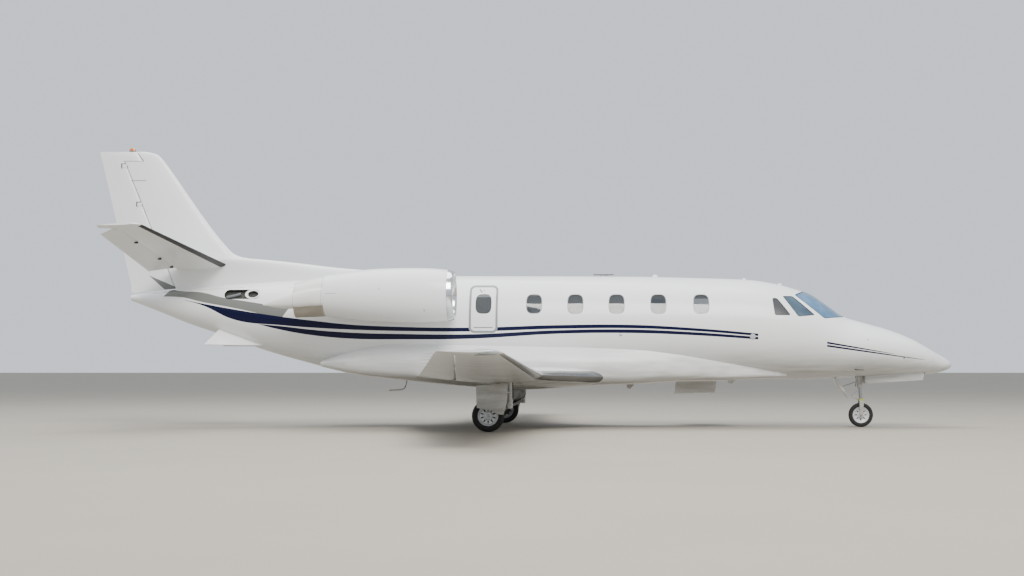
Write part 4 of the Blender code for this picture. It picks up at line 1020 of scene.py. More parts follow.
pair("elevator_skin_", elevator_bm(), [white_paint], "elevator_body_", "elevator_", 32.0)
STRAKE = ((-4.55, 0.28, 1.52), (-5.85, 0.70, 1.53), (-5.62, 0.20, 1.90), (-4.70, 0.14, 1.72))
strake_out = Vector((0.0, 0.62, 0.78)).normalized()
strake = loft([[Vector(p) + strake_out * s for p in STRAKE] for s in (0.010, -0.010)])
pair("strake_skin_", softened(strake, 0.006, 3, longer=0.05), [livery_paint], gone="strake_")
print("tail made")

# %% [markdown]
# ## Engines
# The cowl is one spun skin: a bare polished lip that heats to shed ice, a thin dark joint, then a
# painted shell outside and a lined duct inside. The nozzle droops slightly and carries the
# long side fairings of the thrust reverser, with a row of rivets at each joint. Its inside and its lower
# outside take a darker metal tone, heat-tinted inside and partly painted shade on the lower outside.

# %% Cowls
def seam_extra(xs, width=0.0022):
    """Extra for a finish: dust and painted shade low down, and thin dark joint lines at stated stations."""
    def extra(mat, place, base):
        colour = dust_and_low_shade(mat, place, base)
        split = node(mat, "ShaderNodeSeparateXYZ", None, None, {"Vector": place})
        total = None
        for x in xs:
            gap = math_node(mat, "ABSOLUTE", math_node(mat, "SUBTRACT", split.outputs[0], x))
            line = math_node(mat, "LESS_THAN", gap, width)
            total = line if total is None else math_node(mat, "MAXIMUM", total, line)
        return mix_colour(mat, math_node(mat, "MULTIPLY", total, 0.75), colour, linear("4C4F52"))
    return extra


def radius_at(profile, x):
    """Radius of a profile of (x, radius) points at a station."""
    rows = sorted(profile)
    return float(np.interp(x, [a for a, b in rows], [b for a, b in rows]))


ENGINE_Y, ENGINE_Z = 1.50, 2.39
ENGINE = (0.0, ENGINE_Y, ENGINE_Z)
LIP_END, LINING_START = -1.29, -1.26
OUTSIDE = ((-1.1802, 0.396), (-1.184, 0.412), (-1.200, 0.432), (-1.290, 0.4525), (-1.600, 0.482),
           (-2.050, 0.488), (-2.600, 0.470), (-3.050, 0.425), (-3.470, 0.362))
INSIDE = ((-3.470, 0.337), (-2.900, 0.365), (-2.400, 0.387), (-1.700, 0.377), (-1.350, 0.354),
          (-1.240, 0.364), (-1.195, 0.380), (-1.182, 0.388))
cowl_paint = finish_of("cowl_white_paint", "E8E9E9", "E0E2E3", extra=seam_extra((-1.292,)), **PAINT)
cowl = spun(smooth_open(OUTSIDE, 5) + smooth_open(INSIDE, 5), ENGINE, "X", 96)
for f in cowl.faces:
    c = f.calc_center_median()
    r = math.hypot(c.y - ENGINE_Y, c.z - ENGINE_Z)
    inside = c.x < -1.19 and r < 0.5 * (radius_at(OUTSIDE, c.x) + radius_at(INSIDE, c.x))
    if c.x > LIP_END and not (inside and c.x < LINING_START):
        f.material_index = 1
    elif inside:
        f.material_index = 2
marks = []
for x0, x1, z0, z1 in ((-2.46, -2.46, 2.465, 2.505), (-1.68, -1.68, 2.09, 2.135), (-3.42, -3.22, 2.41, 2.41)):
    ends = [(x, ENGINE_Y + math.sqrt(radius_at(OUTSIDE, x) ** 2 - (z - ENGINE_Z) ** 2), z)
            for x, z in ((x0, z0), (x1, z1))]
    marks.append(tube(ends, 0.0055 if x0 == x1 else 0.003, 10))
cowl = merged(cowl, tint(merged(*marks), 3))
pair("nacelle_skin_", cowl, [cowl_paint, polished, duct_grey, seam_dark], gone="nacelle_", smooth=30.0)

# %% Fan and the parts behind it
BLADES, VANES = 18, 40
BLADE_X = -1.84
BLADE_SECTION = ((-0.5, 0.0), (-0.25, 0.0024), (0.0, 0.0034), (0.25, 0.0026), (0.5, 0.0), (0.25, -0.0008),
                 (0.0, -0.0006), (-0.25, -0.0008))
BLADE_STATIONS = ((0.10, 0.38, 0.052), (0.15, 0.52, 0.054), (0.20, 0.66, 0.056), (0.26, 0.80, 0.058),
                  (0.31, 0.92, 0.060), (0.361, 1.01, 0.060))
VANE_SECTION = ((-1.968, 0.0), (-2.00, 0.008), (-2.045, 0.010), (-2.045, 0.007), (-2.00, 0.004))


def round_engine(x, across, radius, turn):
    """Point beside a radial line of the engine, turned about its axis."""
    p = Matrix.Rotation(turn, 3, "X") @ Vector((0.0, across, radius))
    return (x, ENGINE_Y + p.y, ENGINE_Z + p.z)


def fan_bm():
    """Spinner and blades, which lean more towards their tips."""
    hub = spun(((-1.552, 0.0), (-1.56, 0.020), (-1.60, 0.046), (-1.66, 0.074), (-1.72, 0.094), (-1.78, 0.107),
                (-1.86, 0.113), (-1.918, 0.1145), (-1.9185, 0.0)), ENGINE, "X", 40, False)
    blades = []
    for turn in turns(BLADES):
        rings = []
        for radius, lean, chord in BLADE_STATIONS:
            ring = []
            for s, h in BLADE_SECTION:
                a, b = s * chord, h + 0.006 * (1 - 4 * s * s)
                ring.append(round_engine(BLADE_X + a * math.cos(lean) + b * math.sin(lean),
                                         a * math.sin(lean) - b * math.cos(lean), radius, turn))
            rings.append(ring)
        blades.append(loft(rings))
    return merged(tint(hub, 1), *blades)


def stator_bm():
    """The core's shell and its guide vanes, seen between the fan blades."""
    core = spun(((-1.962, 0.0), (-1.962, 0.130), (-2.02, 0.150), (-2.05, 0.20), (-2.052, 0.372),
                 (-1.962, 0.374), (-1.962, 0.3782), (-2.060, 0.3796), (-2.160, 0.300), (-3.300, 0.235),
                 (-3.45, 0.19), (-3.60, 0.10), (-3.698, 0.0)), ENGINE, "X", 64, False)
    vanes = [loft([[round_engine(x, across, radius, turn) for x, across in VANE_SECTION]
                   for radius in (0.14, 0.375)]) for turn in turns(VANES)]
    return merged(core, *vanes)


spinner_grey = finish_of("spinner_grey_paint", "55585C", "4A4D50", 0.35, 0.3, 0.3, 0.1, 1.0, 0.04)
pair("fan_blades_", fan_bm(), [titanium, spinner_grey], "fan_spool_", "fan_", 35.0)
pair("engine_core_", stator_bm(), [dark_primer_and_shade], gone="engine_", smooth=35.0)

# %% Reversers and pylons
NOZZLE = ((-3.4703, 2.378, 0.356, 0.322), (-3.62, 2.362, 0.350, 0.316), (-3.80, 2.335, 0.332, 0.298),
          (-4.00, 2.305, 0.308, 0.280))
NOZZLE_RADII = [(x, r) for x, z, r, q in NOZZLE]
# Below this height the nozzle's outside takes the darker metal: partly bare metal, partly painted shade.
NOZZLE_MID_Z, BARE_AND_SHADED_BELOW_Z = 2.33, 2.24
STANG = ((-3.4703, 2.350, 0.150, 0.060), (-3.70, 2.335, 0.148, 0.085), (-3.95, 2.300, 0.130, 0.085),
         (-4.25, 2.255, 0.085, 0.060), (-4.45, 2.225, 0.034, 0.024), (-4.52, 2.215, 0.012, 0.009))
RIVET_X = (-3.495, -3.985)
reverser_paint = finish_of("reverser_white_paint", "E4E4E2", "D8D8D4", extra=seam_extra((-3.49, -3.985)),
                           **PAINT)


def ring_at(x, y, z, ry, rz, count):
    return [(x, y + ry * math.cos(t), z + rz * math.sin(t)) for t in turns(count)]


nozzle_rows = smooth_open(NOZZLE, 4)
nozzle = loft([ring_at(x, ENGINE_Y, z, r, r, 72) for x, z, r, q in nozzle_rows])
bore = [ring_at(x, ENGINE_Y, z, q, q, 72) for x, z, r, q in nozzle_rows]
bore[0] = [(-3.40, y, z) for x, y, z in bore[0]]
bore[-1] = [(-4.70, y, z) for x, y, z in bore[-1]]
reverser = combined(nozzle, [loft(bore)])
# Inner faces take the heat-tinted metal; outer faces low on the nozzle take it too, partly as painted shade.
for f in reverser.faces:
    c = f.calc_center_median()
    if f.normal.dot(c - Vector((c.x, ENGINE_Y, NOZZLE_MID_Z))) < 0 or c.z < BARE_AND_SHADED_BELOW_Z:
        f.material_index = 1
stangs = []
for side in (1.0, -1.0):
    rings = [ring_at(x, ENGINE_Y + side * (radius_at(NOZZLE_RADII, x) - 0.004), z, max(wide, 0.004),
                     max(tall, 0.004), 24) for x, z, tall, wide in smooth_open(STANG, 4)]
    stangs.append(combined(loft(rings), [loft(bore)]))
rivets = []
for x in RIVET_X:
    z, r = (float(np.interp(-x, [3.47, 4.0], ends)) for ends in ([2.378, 2.305], [0.357, 0.309]))
    for t in turns(56):
        out = Vector((0.0, math.cos(t), math.sin(t)))
        if abs(out.y) > 0.86 and x == RIVET_X[0]:
            continue
        p = Vector((x, ENGINE_Y, z)) + out * r
        rivets.append(tube([p - out * 0.002, p + out * 0.0012, p + out * 0.002], [0.005, 0.005, 0.003], 8))
reverser = merged(reverser, *stangs, *rivets)
cowl_solid = spun([(-1.15, 0.0)] + [(x, r - 0.004) for x, r in OUTSIDE] + [(-3.50, 0.0)], ENGINE, "X", 64,
                  False)
pylon = loft([foil(-1.75, -3.45, 2.43, 0.120, y) for y in (0.72, 0.90, 1.05, 1.20)])
pylon = combined(pylon, [cowl_solid, hull_form(-1.3, -4.0, 0.12, -0.004)])
pair("reverser_skin_", reverser, [reverser_paint, hot_metal_and_shade], gone="reverser_", smooth=32.0)
pair("pylon_skin_", pylon, [white_paint], gone="pylon_", smooth=32.0)
print("engines made")

# %% [markdown]
# ## Landing gear
# Tyres are spun carcasses with four shallow grooves. Wheels are spun forgings with a ring of cooling
# recesses whose black floors are painted shade. Legs are forged tubes: painted cylinders, bright sliding
# parts, and rubber hoses held by clips. Doors are thin pressed plates with rounded edges.

# %% Wheels and tyres
def tyre_bm(radius, width, rim, centre):
    half, deep = width / 2.0, radius - rim
    side = [(0.62, 0.0), (0.80, 0.03), (0.93, 0.12), (0.985, 0.30), (1.0, 0.48), (0.97, 0.66), (0.88, 0.82),
            (0.74, 0.925), (0.60, 0.972)]
    left = [(-half * a, rim + deep * b) for a, b in side]
    tread = []
    for g in (-0.42, -0.14, 0.14, 0.42):
        y = g * half
        top = radius - 0.028 * deep * (g / 0.6) ** 2
        tread += [(y - 0.0045, top), (y - 0.0032, top - 0.006), (y + 0.0032, top - 0.006), (y + 0.0045, top)]
    tread.insert(8, (0.0, radius))
    right = [(-a, b) for a, b in reversed(left)]
    return spun(left + tread + right, centre, "Y", 96)


def rim_bm(rim, width, bore, centre, slots, slot_r):
    half = width / 2.0
    seat = rim - 0.0003
    web = rim - 0.034
    left = [(-half * 0.60, seat), (-half * 0.70, seat), (-half * 0.72, seat - 0.003),
            (-half * 0.72, seat - 0.013), (-half * 0.68, seat - 0.017), (-half * 0.34, web),
            (-half * 0.27, web - 0.006), (-half * 0.18, bore + 0.062), (-half * 0.20, bore + 0.046),
            (-half * 0.52, bore + 0.034), (-half * 0.55, bore + 0.028), (-half * 0.55, bore)]
    right = [(-a, b) for a, b in reversed(left)]
    body = spun(left + right, centre, "Y", 96)
    cutters, painted_shade_floors = [], []
    cx, cy, cz = centre
    for k in range(slots):
        t = 2.0 * math.pi * k / slots
        for face in (1, -1):
            wide, long = 0.11 * slot_r, 0.25 * slot_r
            hole = rounded(-wide, wide, slot_r - long, slot_r + long, wide * 0.9, 5)
            ring = [(cx + a * math.cos(t) + b * math.sin(t), cz - a * math.sin(t) + b * math.cos(t))
                    for a, b in hole]
            lo, hi = sorted((cy + face * half * 0.04, cy + face * half))
            cutters.append(prism(ring, "Y", lo, hi))
            # Black floors a little below each recess: painted shade, so the recesses read as deep holes.
            lo, hi = sorted((cy + face * half * 0.03, cy + face * half * 0.07))
            painted_shade_floors.append(prism(ring, "Y", lo, hi))
    body = combined(body, [merged(*cutters)])
    bolts = []
    for k in range(8):
        t = 2.0 * math.pi * (k + 0.5) / 8
        x, z = cx + (bore + 0.038) * math.sin(t), cz + (bore + 0.038) * math.cos(t)
        for face in (1, -1):
            ends = [(x, cy + face * half * out, z) for out in (0.40, 0.53, 0.548)]
            bolts.append(tube(ends, [0.0062, 0.0062, 0.004], 6))
    return merged(body, tint(merged(*bolts), 1), tint(merged(*painted_shade_floors), 2))


LEG_X, LEG_Y, ARM_Y = -0.16, 2.27, 2.115
AXLE_X, AXLE_Z, KNEE_Z = -0.53, 0.2795, 0.46
MAIN = (AXLE_X, LEG_Y, AXLE_Z)
NOSE = (6.29, 0.0, 0.2275)
# Rim paint, bolt steel, and black for the painted shade in the recess floors.
WHEEL_FINISHES = [rim_paint, bare_steel, black_trim_and_shade]
brake = spun(((-0.148, 0.030), (-0.148, 0.105), (-0.140, 0.112), (-0.100, 0.112), (-0.092, 0.104),
              (-0.092, 0.030)), MAIN, "Y", 64)
pair("main_tyre_dress_", tyre_bm(AXLE_Z, 0.20, 0.180, MAIN), [tyre_rubber], "main_wheel_", "main_tyre_", 32.0)
pair("main_rim_dress_", rim_bm(0.180, 0.17, 0.0288, MAIN, 10, 0.108), WHEEL_FINISHES, "main_wheel_",
     "main_rim_", 32.0)
mesh_piece("nose_tyre_dress", tyre_bm(NOSE[2], 0.112, 0.155, NOSE), tyre_rubber, "nose_wheel",
           ("nose_tyre",), 32.0)
mesh_piece("nose_rim_dress", rim_bm(0.155, 0.0952, 0.0188, NOSE, 8, 0.088), WHEEL_FINISHES, "nose_wheel",
           ("nose_rim",), 32.0)

# %% Main legs
hose_rubber = finish_of("brake_hose_rubber", "1D1D1E", "2A2A2B", 0.6, 0.0, 0.0, 0.05, 0.8, 0.05)
gear_paint = finish_of("gear_white_enamel", "DCDDDC", "CDCECC", 0.28, 0.0, 0.3, 0.15, 1.5, 0.05, extra=dust_and_low_shade)
knee, axle = Vector((LEG_X, ARM_Y, KNEE_Z)), Vector((AXLE_X, ARM_Y, AXLE_Z))
leg_zs = (0.402, 0.412, 0.56, 0.60, 0.97, 1.02)
painted = [
    tube([(LEG_X, LEG_Y, z) for z in leg_zs], [0.044, 0.0495, 0.0495, 0.043, 0.043, 0.049], 40),
    tube([(LEG_X, y, KNEE_Z) for y in (2.082, 2.088, 2.314, 2.319)], [0.039, 0.0445, 0.0445, 0.039], 36),
    tube([knee, knee.lerp(axle, 0.2), knee.lerp(axle, 0.75), axle], [0.034, 0.028, 0.026, 0.034], 28),
    tube([(AXLE_X, 2.078, AXLE_Z), (AXLE_X, 2.152, AXLE_Z)], 0.036, 32),
    tube([(LEG_X, LEG_Y, 0.80), (-0.18, 2.19, 0.78), (-0.20, ARM_Y, 0.765)], [0.026, 0.021, 0.025], 24),
    tube([(-0.20, 2.085, 0.765), (-0.20, 2.145, 0.765)], 0.024, 24),
    tube([(-0.20, ARM_Y, 0.77), (-0.205, ARM_Y, 0.76), (-0.30, ARM_Y, 0.565), (-0.305, ARM_Y, 0.555)],
         [0.020, 0.0268, 0.0268, 0.022], 28),
    block((-0.24, -0.12), (LEG_Y, 2.425), (0.664, 0.696), 0.008),
]
bright = [
    tube([(-0.30, ARM_Y, 0.565), (-0.385, ARM_Y, 0.392)], 0.0165, 24),
    tube([(AXLE_X, y, AXLE_Z) for y in (2.10, 2.352, 2.359)], [0.0279, 0.0279, 0.022], 32),
    tube([(-0.392, 2.09, 0.375), (-0.392, 2.14, 0.375)], 0.017, 20),
    tube([(LEG_X, 2.076, KNEE_Z), (LEG_X, 2.324, KNEE_Z)], 0.018, 6),
]
hose = []
for shift in (0.0, 0.016):
    path = smooth_open([(-0.115 - shift, 2.262, 0.95), (-0.104 - shift, 2.255, 0.80),
                        (-0.106 - shift, 2.25, 0.62), (-0.135, 2.20 + shift, 0.53),
                        (-0.24, 2.150, 0.462 + shift), (-0.38, 2.150, 0.405 + shift),
                        (-0.47, 2.145, 0.345 + shift)], 6)
    hose.append(tube(path, 0.0055, 10))
clips = [tube([(LEG_X, LEG_Y, z), (LEG_X, LEG_Y, z + 0.014)], 0.0465, 32) for z in (0.70, 0.86)]
leg = merged(*painted, tint(merged(*bright, *clips), 1), tint(merged(*hose), 2), tint(brake, 3))
plate = prism(((-0.73, 0.80), (-0.72, 0.50), (-0.712, 0.416), (-0.592, 0.392), (-0.443, 0.365),
               (-0.400, 0.345), (-0.362, 0.307), (-0.255, 0.300), (-0.20, 0.50), (-0.18, 0.835),
               (-0.30, 0.83)), "Y", 2.420, 2.430)
rivets = []
for x, z in [(-0.205, 0.80 - 0.07 * k) for k in range(5)] + [(-0.25 - 0.07 * k, 0.808) for k in range(7)]:
    rivets.append(tube([(x, y, z) for y in (2.428, 2.4312, 2.432)], [0.004, 0.004, 0.0022], 8))
pair("main_leg_dress_", leg, [gear_paint, bare_steel, hose_rubber, dark_primer_and_shade], gone="main_leg_")
pair("main_leg_door_", merged(softened(plate, 0.003), *rivets), [gear_paint])

# %% Nose gear and its doors
top, low = Vector((6.22, 0.0, 1.4197)), Vector((6.275, 0.0, 0.74))
down = (low - top).normalized()
strut = merged(
    tube([top + down * 0.02, low - down * 0.078, low - down * 0.068, low - down * 0.006, low],
         [0.0437, 0.0437, 0.0555, 0.0555, 0.050], 40),
    tube([(6.235, 0.0, 1.05), (6.40, 0.0, 1.205), (6.60, 0.0, 1.385)], [0.020, 0.0215, 0.020], 24),
    tube([(6.243, -0.06, 0.985), (6.243, 0.06, 0.985)], 0.020, 24),
)
nose_hose = []
for y in (0.047, 0.061):
    path = smooth_open([(6.19, y, 1.15), (6.20, y, 1.0), (6.215, y + 0.004, 0.86), (6.20, y + 0.008, 0.76)],
                       6)
    nose_hose.append(tube(path, 0.005, 10))
mesh_piece("nose_strut_dress", merged(strut, tint(merged(*nose_hose), 1)), [gear_paint, hose_rubber],
           "airframe", ("nose_strut",))
crown = low + down * 0.235
chrome = tube([low + down * 0.001, low + down * 0.215], 0.0318, 40)
parts = [block((crown.x - 0.049, crown.x + 0.049), (-0.094, 0.094), (crown.z - 0.021, crown.z + 0.021),
               0.009), tube([low + down * 0.20, low + down * 0.236], 0.040, 32)]
for s in (1.0, -1.0):
    y = sorted((s * 0.072, s * 0.0935))
    cheek = prism(((crown.x - 0.045, crown.z + 0.010), (crown.x + 0.045, crown.z + 0.010),
                   (crown.x + 0.040, crown.z - 0.05), (NOSE[0] + 0.030, 0.235), (NOSE[0] + 0.018, 0.200),
                   (NOSE[0], 0.193), (NOSE[0] - 0.018, 0.200), (NOSE[0] - 0.030, 0.235),
                   (crown.x - 0.040, crown.z - 0.05)), "Y", *y)
    parts.append(softened(cheek, 0.004, 3))
links = []
for a, b in (((6.245, 0.686), (6.108, 0.602)), ((6.245, 0.506), (6.108, 0.600))):
    for s in (1.0, -1.0):
        links.append(tube([(a[0], s * 0.016, a[1]), (b[0], s * 0.006, b[1])], [0.0085, 0.007], 14))
links.append(tube([(6.105, -0.020, 0.601), (6.105, 0.020, 0.601)], 0.0095, 16))
links += [tube([(6.243, -0.020, z), (6.243, 0.020, z)], 0.013, 18) for z in (0.684, 0.508)]
pin, nut = (tube([(NOSE[0], y, NOSE[2]) for y in ys], 0.0178, count)
            for ys, count in (((-0.100, 0.100), 24), ((-0.0998, -0.092), 6)))
fork = merged(tint(merged(chrome, pin, nut), 1), *parts[:2], tint(merged(*parts[2:], *links), 2))
mesh_piece("nose_fork_dress", fork, [chromate, bare_steel, gear_paint], "nose_steering", ("nose_fork",))
door_hinge = tube([(6.34, 0.1817, 0.981), (7.44, 0.1817, 1.034)], 0.0078, 16)
door_plate = prism(((6.34, 0.981), (7.44, 1.034), (7.435, 0.96), (7.42, 0.884), (6.372, 0.813),
                    (6.345, 0.842)), "Y", 0.1757, 0.1817)
ribs = [tube([(x, 0.1745, 0.85 + 0.048 * (x - 6.34)), (x, 0.1745, 0.97 + 0.048 * (x - 6.34))], 0.0045, 8)
        for x in (6.50, 6.72, 6.94, 7.16, 7.34)]
nose_door = merged(door_hinge, softened(door_plate, 0.002), *ribs)
pair("nose_door_dress_", nose_door, [white_paint], "nose_door_body_", "nose_door_")
aft = prism(((5.79, 0.86), (5.80, 0.94), (5.812, 0.94), (6.05, 0.56), (6.035, 0.55)), "Y", -0.13, 0.13)
aft = combined(softened(aft, 0.003), [hull_form(6.4, 5.5, 0.1, 0.002)])
rods = [tube([(5.90, y, 0.745), (6.215, y, 0.852)], 0.007, 12) for y in (0.010, -0.010)]
rods += [tube([(5.925, -0.06, 0.745), (5.925, 0.06, 0.745)], 0.010, 16)]
mesh_piece("nose_aft_door_dress", merged(aft, tint(merged(*rods), 1)), [white_paint, bare_steel], "airframe",
           ("nose_aft_door",))
print("gear made")

# %% [markdown]
# ## Cabin and entry
# Leather cushions are rounded blocks swelled at the crown, with stitched channels pressed in and a
# welt round the edge. They sit on laminate boxes. The entry door is the cut-out of the same skin,
# swung down, with ribbed treads on its inner face and a handrail on each side.

# %% Cushions
FLOOR_Z, SEAT_W, BACK_LEAN = 1.25, 0.44, 0.115
SQUARENESS = 7
SEAT_ROWS = ((2.30, -1), (1.05, 1), (0.15, 1), (-0.75, 1))


def cushion(x, y, z, crown_axis=2, channels=3, lean=0.0, pivot=None):
    """Rounded padded block between limits, swelled along one axis, with channels across it."""
    bm = bmesh.new()
    bmesh.ops.create_cube(bm, size=2.0)
    bmesh.ops.subdivide_edges(bm, edges=bm.edges[:], cuts=13, use_grid_fill=True)
    mid = [(a + b) / 2 for a, b in (x, y, z)]
    half = [(b - a) / 2 for a, b in (x, y, z)]
    flat = [i for i in range(3) if i != crown_axis]
    for v in bm.verts:
        p = list(v.co)
        s = sum(abs(a) ** SQUARENESS for a in p) ** (1 / SQUARENESS)
        p = [a / s for a in p]
        a, b = p[flat[0]], p[flat[1]]
        swell = 0.80 + 0.20 * (1 - a ** 2) * (1 - b ** 2)
        for k in range(channels):
            at = -0.6 + 1.2 * k / max(1, channels - 1)
            line = a if crown_axis == 2 else b
            swell -= 0.05 * math.exp(-((line - at) / 0.05) ** 2) * (1 - (b if crown_axis == 2 else a) ** 4)
        p[crown_axis] *= swell
        v.co = Vector(mid[i] + half[i] * p[i] for i in range(3))
    welt = []
    for t in turns(48, 1):
        p = [0.0, 0.0, 0.0]
        a, b = math.cos(t), math.sin(t)
        s = (abs(a) ** SQUARENESS + abs(b) ** SQUARENESS) ** (1 / SQUARENESS)
        p[flat[0]], p[flat[1]], p[crown_axis] = a / s * 0.965, b / s * 0.965, 0.55
        welt.append(Vector(mid[i] + half[i] * p[i] for i in range(3)))
    piping = tint(tube(welt, 0.0045, 8), 1)
    bm = merged(bm, piping)
    if lean:
        swing = Matrix.Translation(pivot) @ Matrix.Rotation(lean, 4, "Y") @ Matrix.Translation(-Vector(pivot))
        bm.transform(swing)
    bmesh.ops.recalc_face_normals(bm, faces=bm.faces[:])
    return bm


def seat_parts(x, y, face, width):
    """Cushions and boxes of one seat. face is 1 towards the nose and -1 towards the tail."""
    floor = FLOOR_Z
    soft = [cushion((x - 0.245, x + 0.245), (y - width / 2 + 0.04, y + width / 2 - 0.04),
                    (floor + 0.26, floor + 0.415))]
    pivot = (x - face * 0.21, y, floor + 0.42)
    back_x = sorted((x - face * 0.185, x - face * 0.305))
    soft.append(cushion(back_x, (y - width / 2 + 0.04, y + width / 2 - 0.04), (floor + 0.40, floor + 0.87),
                        0, 3, -face * BACK_LEAN, pivot))
    soft.append(cushion(back_x, (y - width / 2 + 0.07, y + width / 2 - 0.07),
                        (floor + 0.885, floor + 1.065), 0, 0, -face * BACK_LEAN, pivot))
    hard = [block((x - 0.215, x + 0.215), (y - 0.175, y + 0.175), (floor + 0.013, floor + 0.265), 0.02)]
    for s in (1, -1):
        edge = y + s * (width / 2 - 0.02)
        hard.append(block((x - 0.20, x + 0.20), (edge - 0.018, edge + 0.018), (floor + 0.27, floor + 0.415),
                          0.012))
    return soft, hard


def leather_extra(mat, place, base):
    cells = node(mat, "ShaderNodeTexVoronoi", None, {"Scale": 450.0}, {"Vector": place}).outputs["Distance"]
    return mix_colour(mat, math_node(mat, "MULTIPLY", cells, 0.35), base, linear("6D5C45"))


leather = finish_of("tan_leather", "A48E6D", "8E7A5C", 0.55, 0.0, 0.0, 0.25, 1.4, 0.35, 0.08,
                    extra=leather_extra)
stitching = finish_of("dark_welt_leather", "6C5A41", "5C4C37", 0.6, 0.0, 0.0, 0.1, 1.0, 0.2)
seat_shell = finish_of("seat_base_laminate", "8C857A", "7B756B", 0.45, 0.0, 0.1, 0.2, 1.0, 0.05)
cabin_soft, cabin_hard, pilot_soft, pilot_hard = [], [], [], []
for x, face in SEAT_ROWS:
    for y in (0.42, -0.42):
        soft, hard = seat_parts(x, y, face, SEAT_W)
        cabin_soft += soft
        cabin_hard += hard
for y in (0.36, -0.36):
    soft, hard = seat_parts(4.62, y, 1, SEAT_W)
    pilot_soft += soft
    pilot_hard += hard
for name, soft, hard, node_name in (("cabin", cabin_soft, cabin_hard, "cabin_seats"),
                                    ("pilot", pilot_soft, pilot_hard, "pilot_seats")):
    made = mesh_piece(name + "_seat_cushions", merged(*soft), [leather, stitching], "airframe",
                      (node_name,), 50.0)
    mesh_piece(name + "_seat_bases", merged(*hard), [seat_shell], "airframe", (node_name,), 40.0)

# %% Cabin floor, lining and panel
def pile(mat, place, base):
    loops = node(mat, "ShaderNodeTexVoronoi", None, {"Scale": 260.0}, {"Vector": place}).outputs["Distance"]
    return mix_colour(mat, math_node(mat, "MULTIPLY", loops, 0.6), base, linear("2E261E"))


carpet = finish_of("cabin_carpet", "5A4D3F", "4A3F34", 0.95, 0.0, 0.0, 0.4, 3.0, 1.2, 0.02, extra=pile)
panel_grey = finish_of("instrument_panel_grey", "2C2E30", "24262A", 0.55, 0.0, 0.0, 0.1, 0.7, 0.06)
screen_glass = finish_of("display_glass", "0D1218", "101820", 0.08, 0.0, 1.0, 0.2, 2.0, 0.01, 0.02)
floor_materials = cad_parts["cabin_floor"].data.materials
floor_materials.clear()
floor_materials.append(carpet)
panel_room = block((5.302, 5.548), (-0.8, 0.8), (1.552, 2.018), 0.012)
panel = combined(hull_form(5.60, 5.20, 0.1, -0.135), [panel_room], "INTERSECT")
pedestal = block((4.952, 5.395), (-0.168, 0.168), (1.2525, 1.778), 0.02)
screens = [block((5.296, 5.306), (y - 0.125, y + 0.125), (1.66, 1.86), 0.004)
           for y in (-0.42, -0.14, 0.14, 0.42)]
knobs = [tube([(5.10 + 0.07 * k, s * 0.06, 1.776), (5.10 + 0.07 * k, s * 0.06, 1.798)], [0.013, 0.010], 16)
         for k in range(4) for s in (1, -1)]
mesh_piece("instrument_panel_dress", merged(panel, pedestal, tint(merged(*screens), 1), *knobs),
           [panel_grey, screen_glass], "airframe", ("instrument_panel",), 35.0)

# %% Airstair
STAIR_HINGE = (0.801, 1.368)
STAIR_OPEN = math.radians(138.0)
STAIR_MID_X, TREAD_TILT = 3.26, math.radians(-42.0)
door_x = (STAIR_X[0] + 0.006, STAIR_X[1] - 0.006)
sy, sz = STAIR_HINGE
door_block = block(door_x, (0.3, 1.3), (sz, STAIR_Z[1] - 0.025))
door = combined(hull_form(4.0, 2.5, 0.08, -0.0005), [door_block], "INTERSECT")
door = combined(door, [hull_form(4.1, 2.4, 0.08, -0.1)])
for f in door.faces:
    c = f.calc_center_median()
    f.material_index = 3 if c.y > skin_y(c.x, c.z) - 0.006 else 0
treads, grips = [], []
for k in range(4):
    z = 1.50 + 0.245 * k
    y = skin_y(STAIR_MID_X, z) - 0.10
    deep = 0.13 + 0.02 * k
    tread = block((door_x[0] + 0.07, door_x[1] - 0.07), (y - deep, y + 0.02), (z - 0.012, z + 0.011), 0.006)
    strips = [block((door_x[0] + 0.10, door_x[1] - 0.10),
                    (y - deep + 0.012 + 0.024 * j, y - deep + 0.026 + 0.024 * j), (z + 0.0105, z + 0.0122))
              for j in range(4)]
    sides = [block((xx - 0.008, xx + 0.008), (y - deep * 0.8, y + 0.02), (z - 0.05, z + 0.0), 0.004)
             for xx in (door_x[0] + 0.09, door_x[1] - 0.09)]
    swing = Matrix.Translation((0.0, y, z)) @ Matrix.Rotation(TREAD_TILT, 4, "X") \
        @ Matrix.Translation((0.0, -y, -z))
    for part, home in ((tread, treads), (merged(*strips), grips), (merged(*sides), treads)):
        part.transform(swing)
        home.append(part)
rails = []
for xx in (door_x[0] + 0.035, door_x[1] - 0.035):
    path = smooth_open([(xx, skin_y(xx, z) - 0.10 - out, z)
                        for z, out in ((1.46, 0.0), (1.50, 0.03), (1.72, 0.040), (2.10, 0.040),
                                       (2.36, 0.035), (2.42, 0.0))], 5)
    rails.append(tube(path, 0.009, 14))
knuckle = tube([(door_x[0], sy, sz), (door_x[1], sy, sz)], 0.0208, 28)
shut = merged(door, knuckle, *treads, tint(merged(*grips), 1), tint(merged(*rails), 2))
shut.transform(Matrix.Translation((0.0, -sy, -sz)))
shut.transform(Matrix.Rotation(-STAIR_OPEN, 4, "X"))
shut.transform(Matrix.Translation((0.0, sy, sz)))


def door_livery(mat, place, base):
    """The stripes where they run with the door shut, and painted shade on its outer face, darker towards the
    bottom where it hangs open.
    """
    turned = node(mat, "ShaderNodeVectorRotate", {"rotation_type": "X_AXIS"},
                  {"Center": (0.0, sy, sz), "Angle": STAIR_OPEN}, {"Vector": place}).outputs[0]
    # Painted shade: the low darkening is laid on again at the door's open place, where its outer face hangs
    # facing down.
    return livery(mat, turned, mix_colour(mat, 0.65, base, dust_and_low_shade(mat, place, base)))


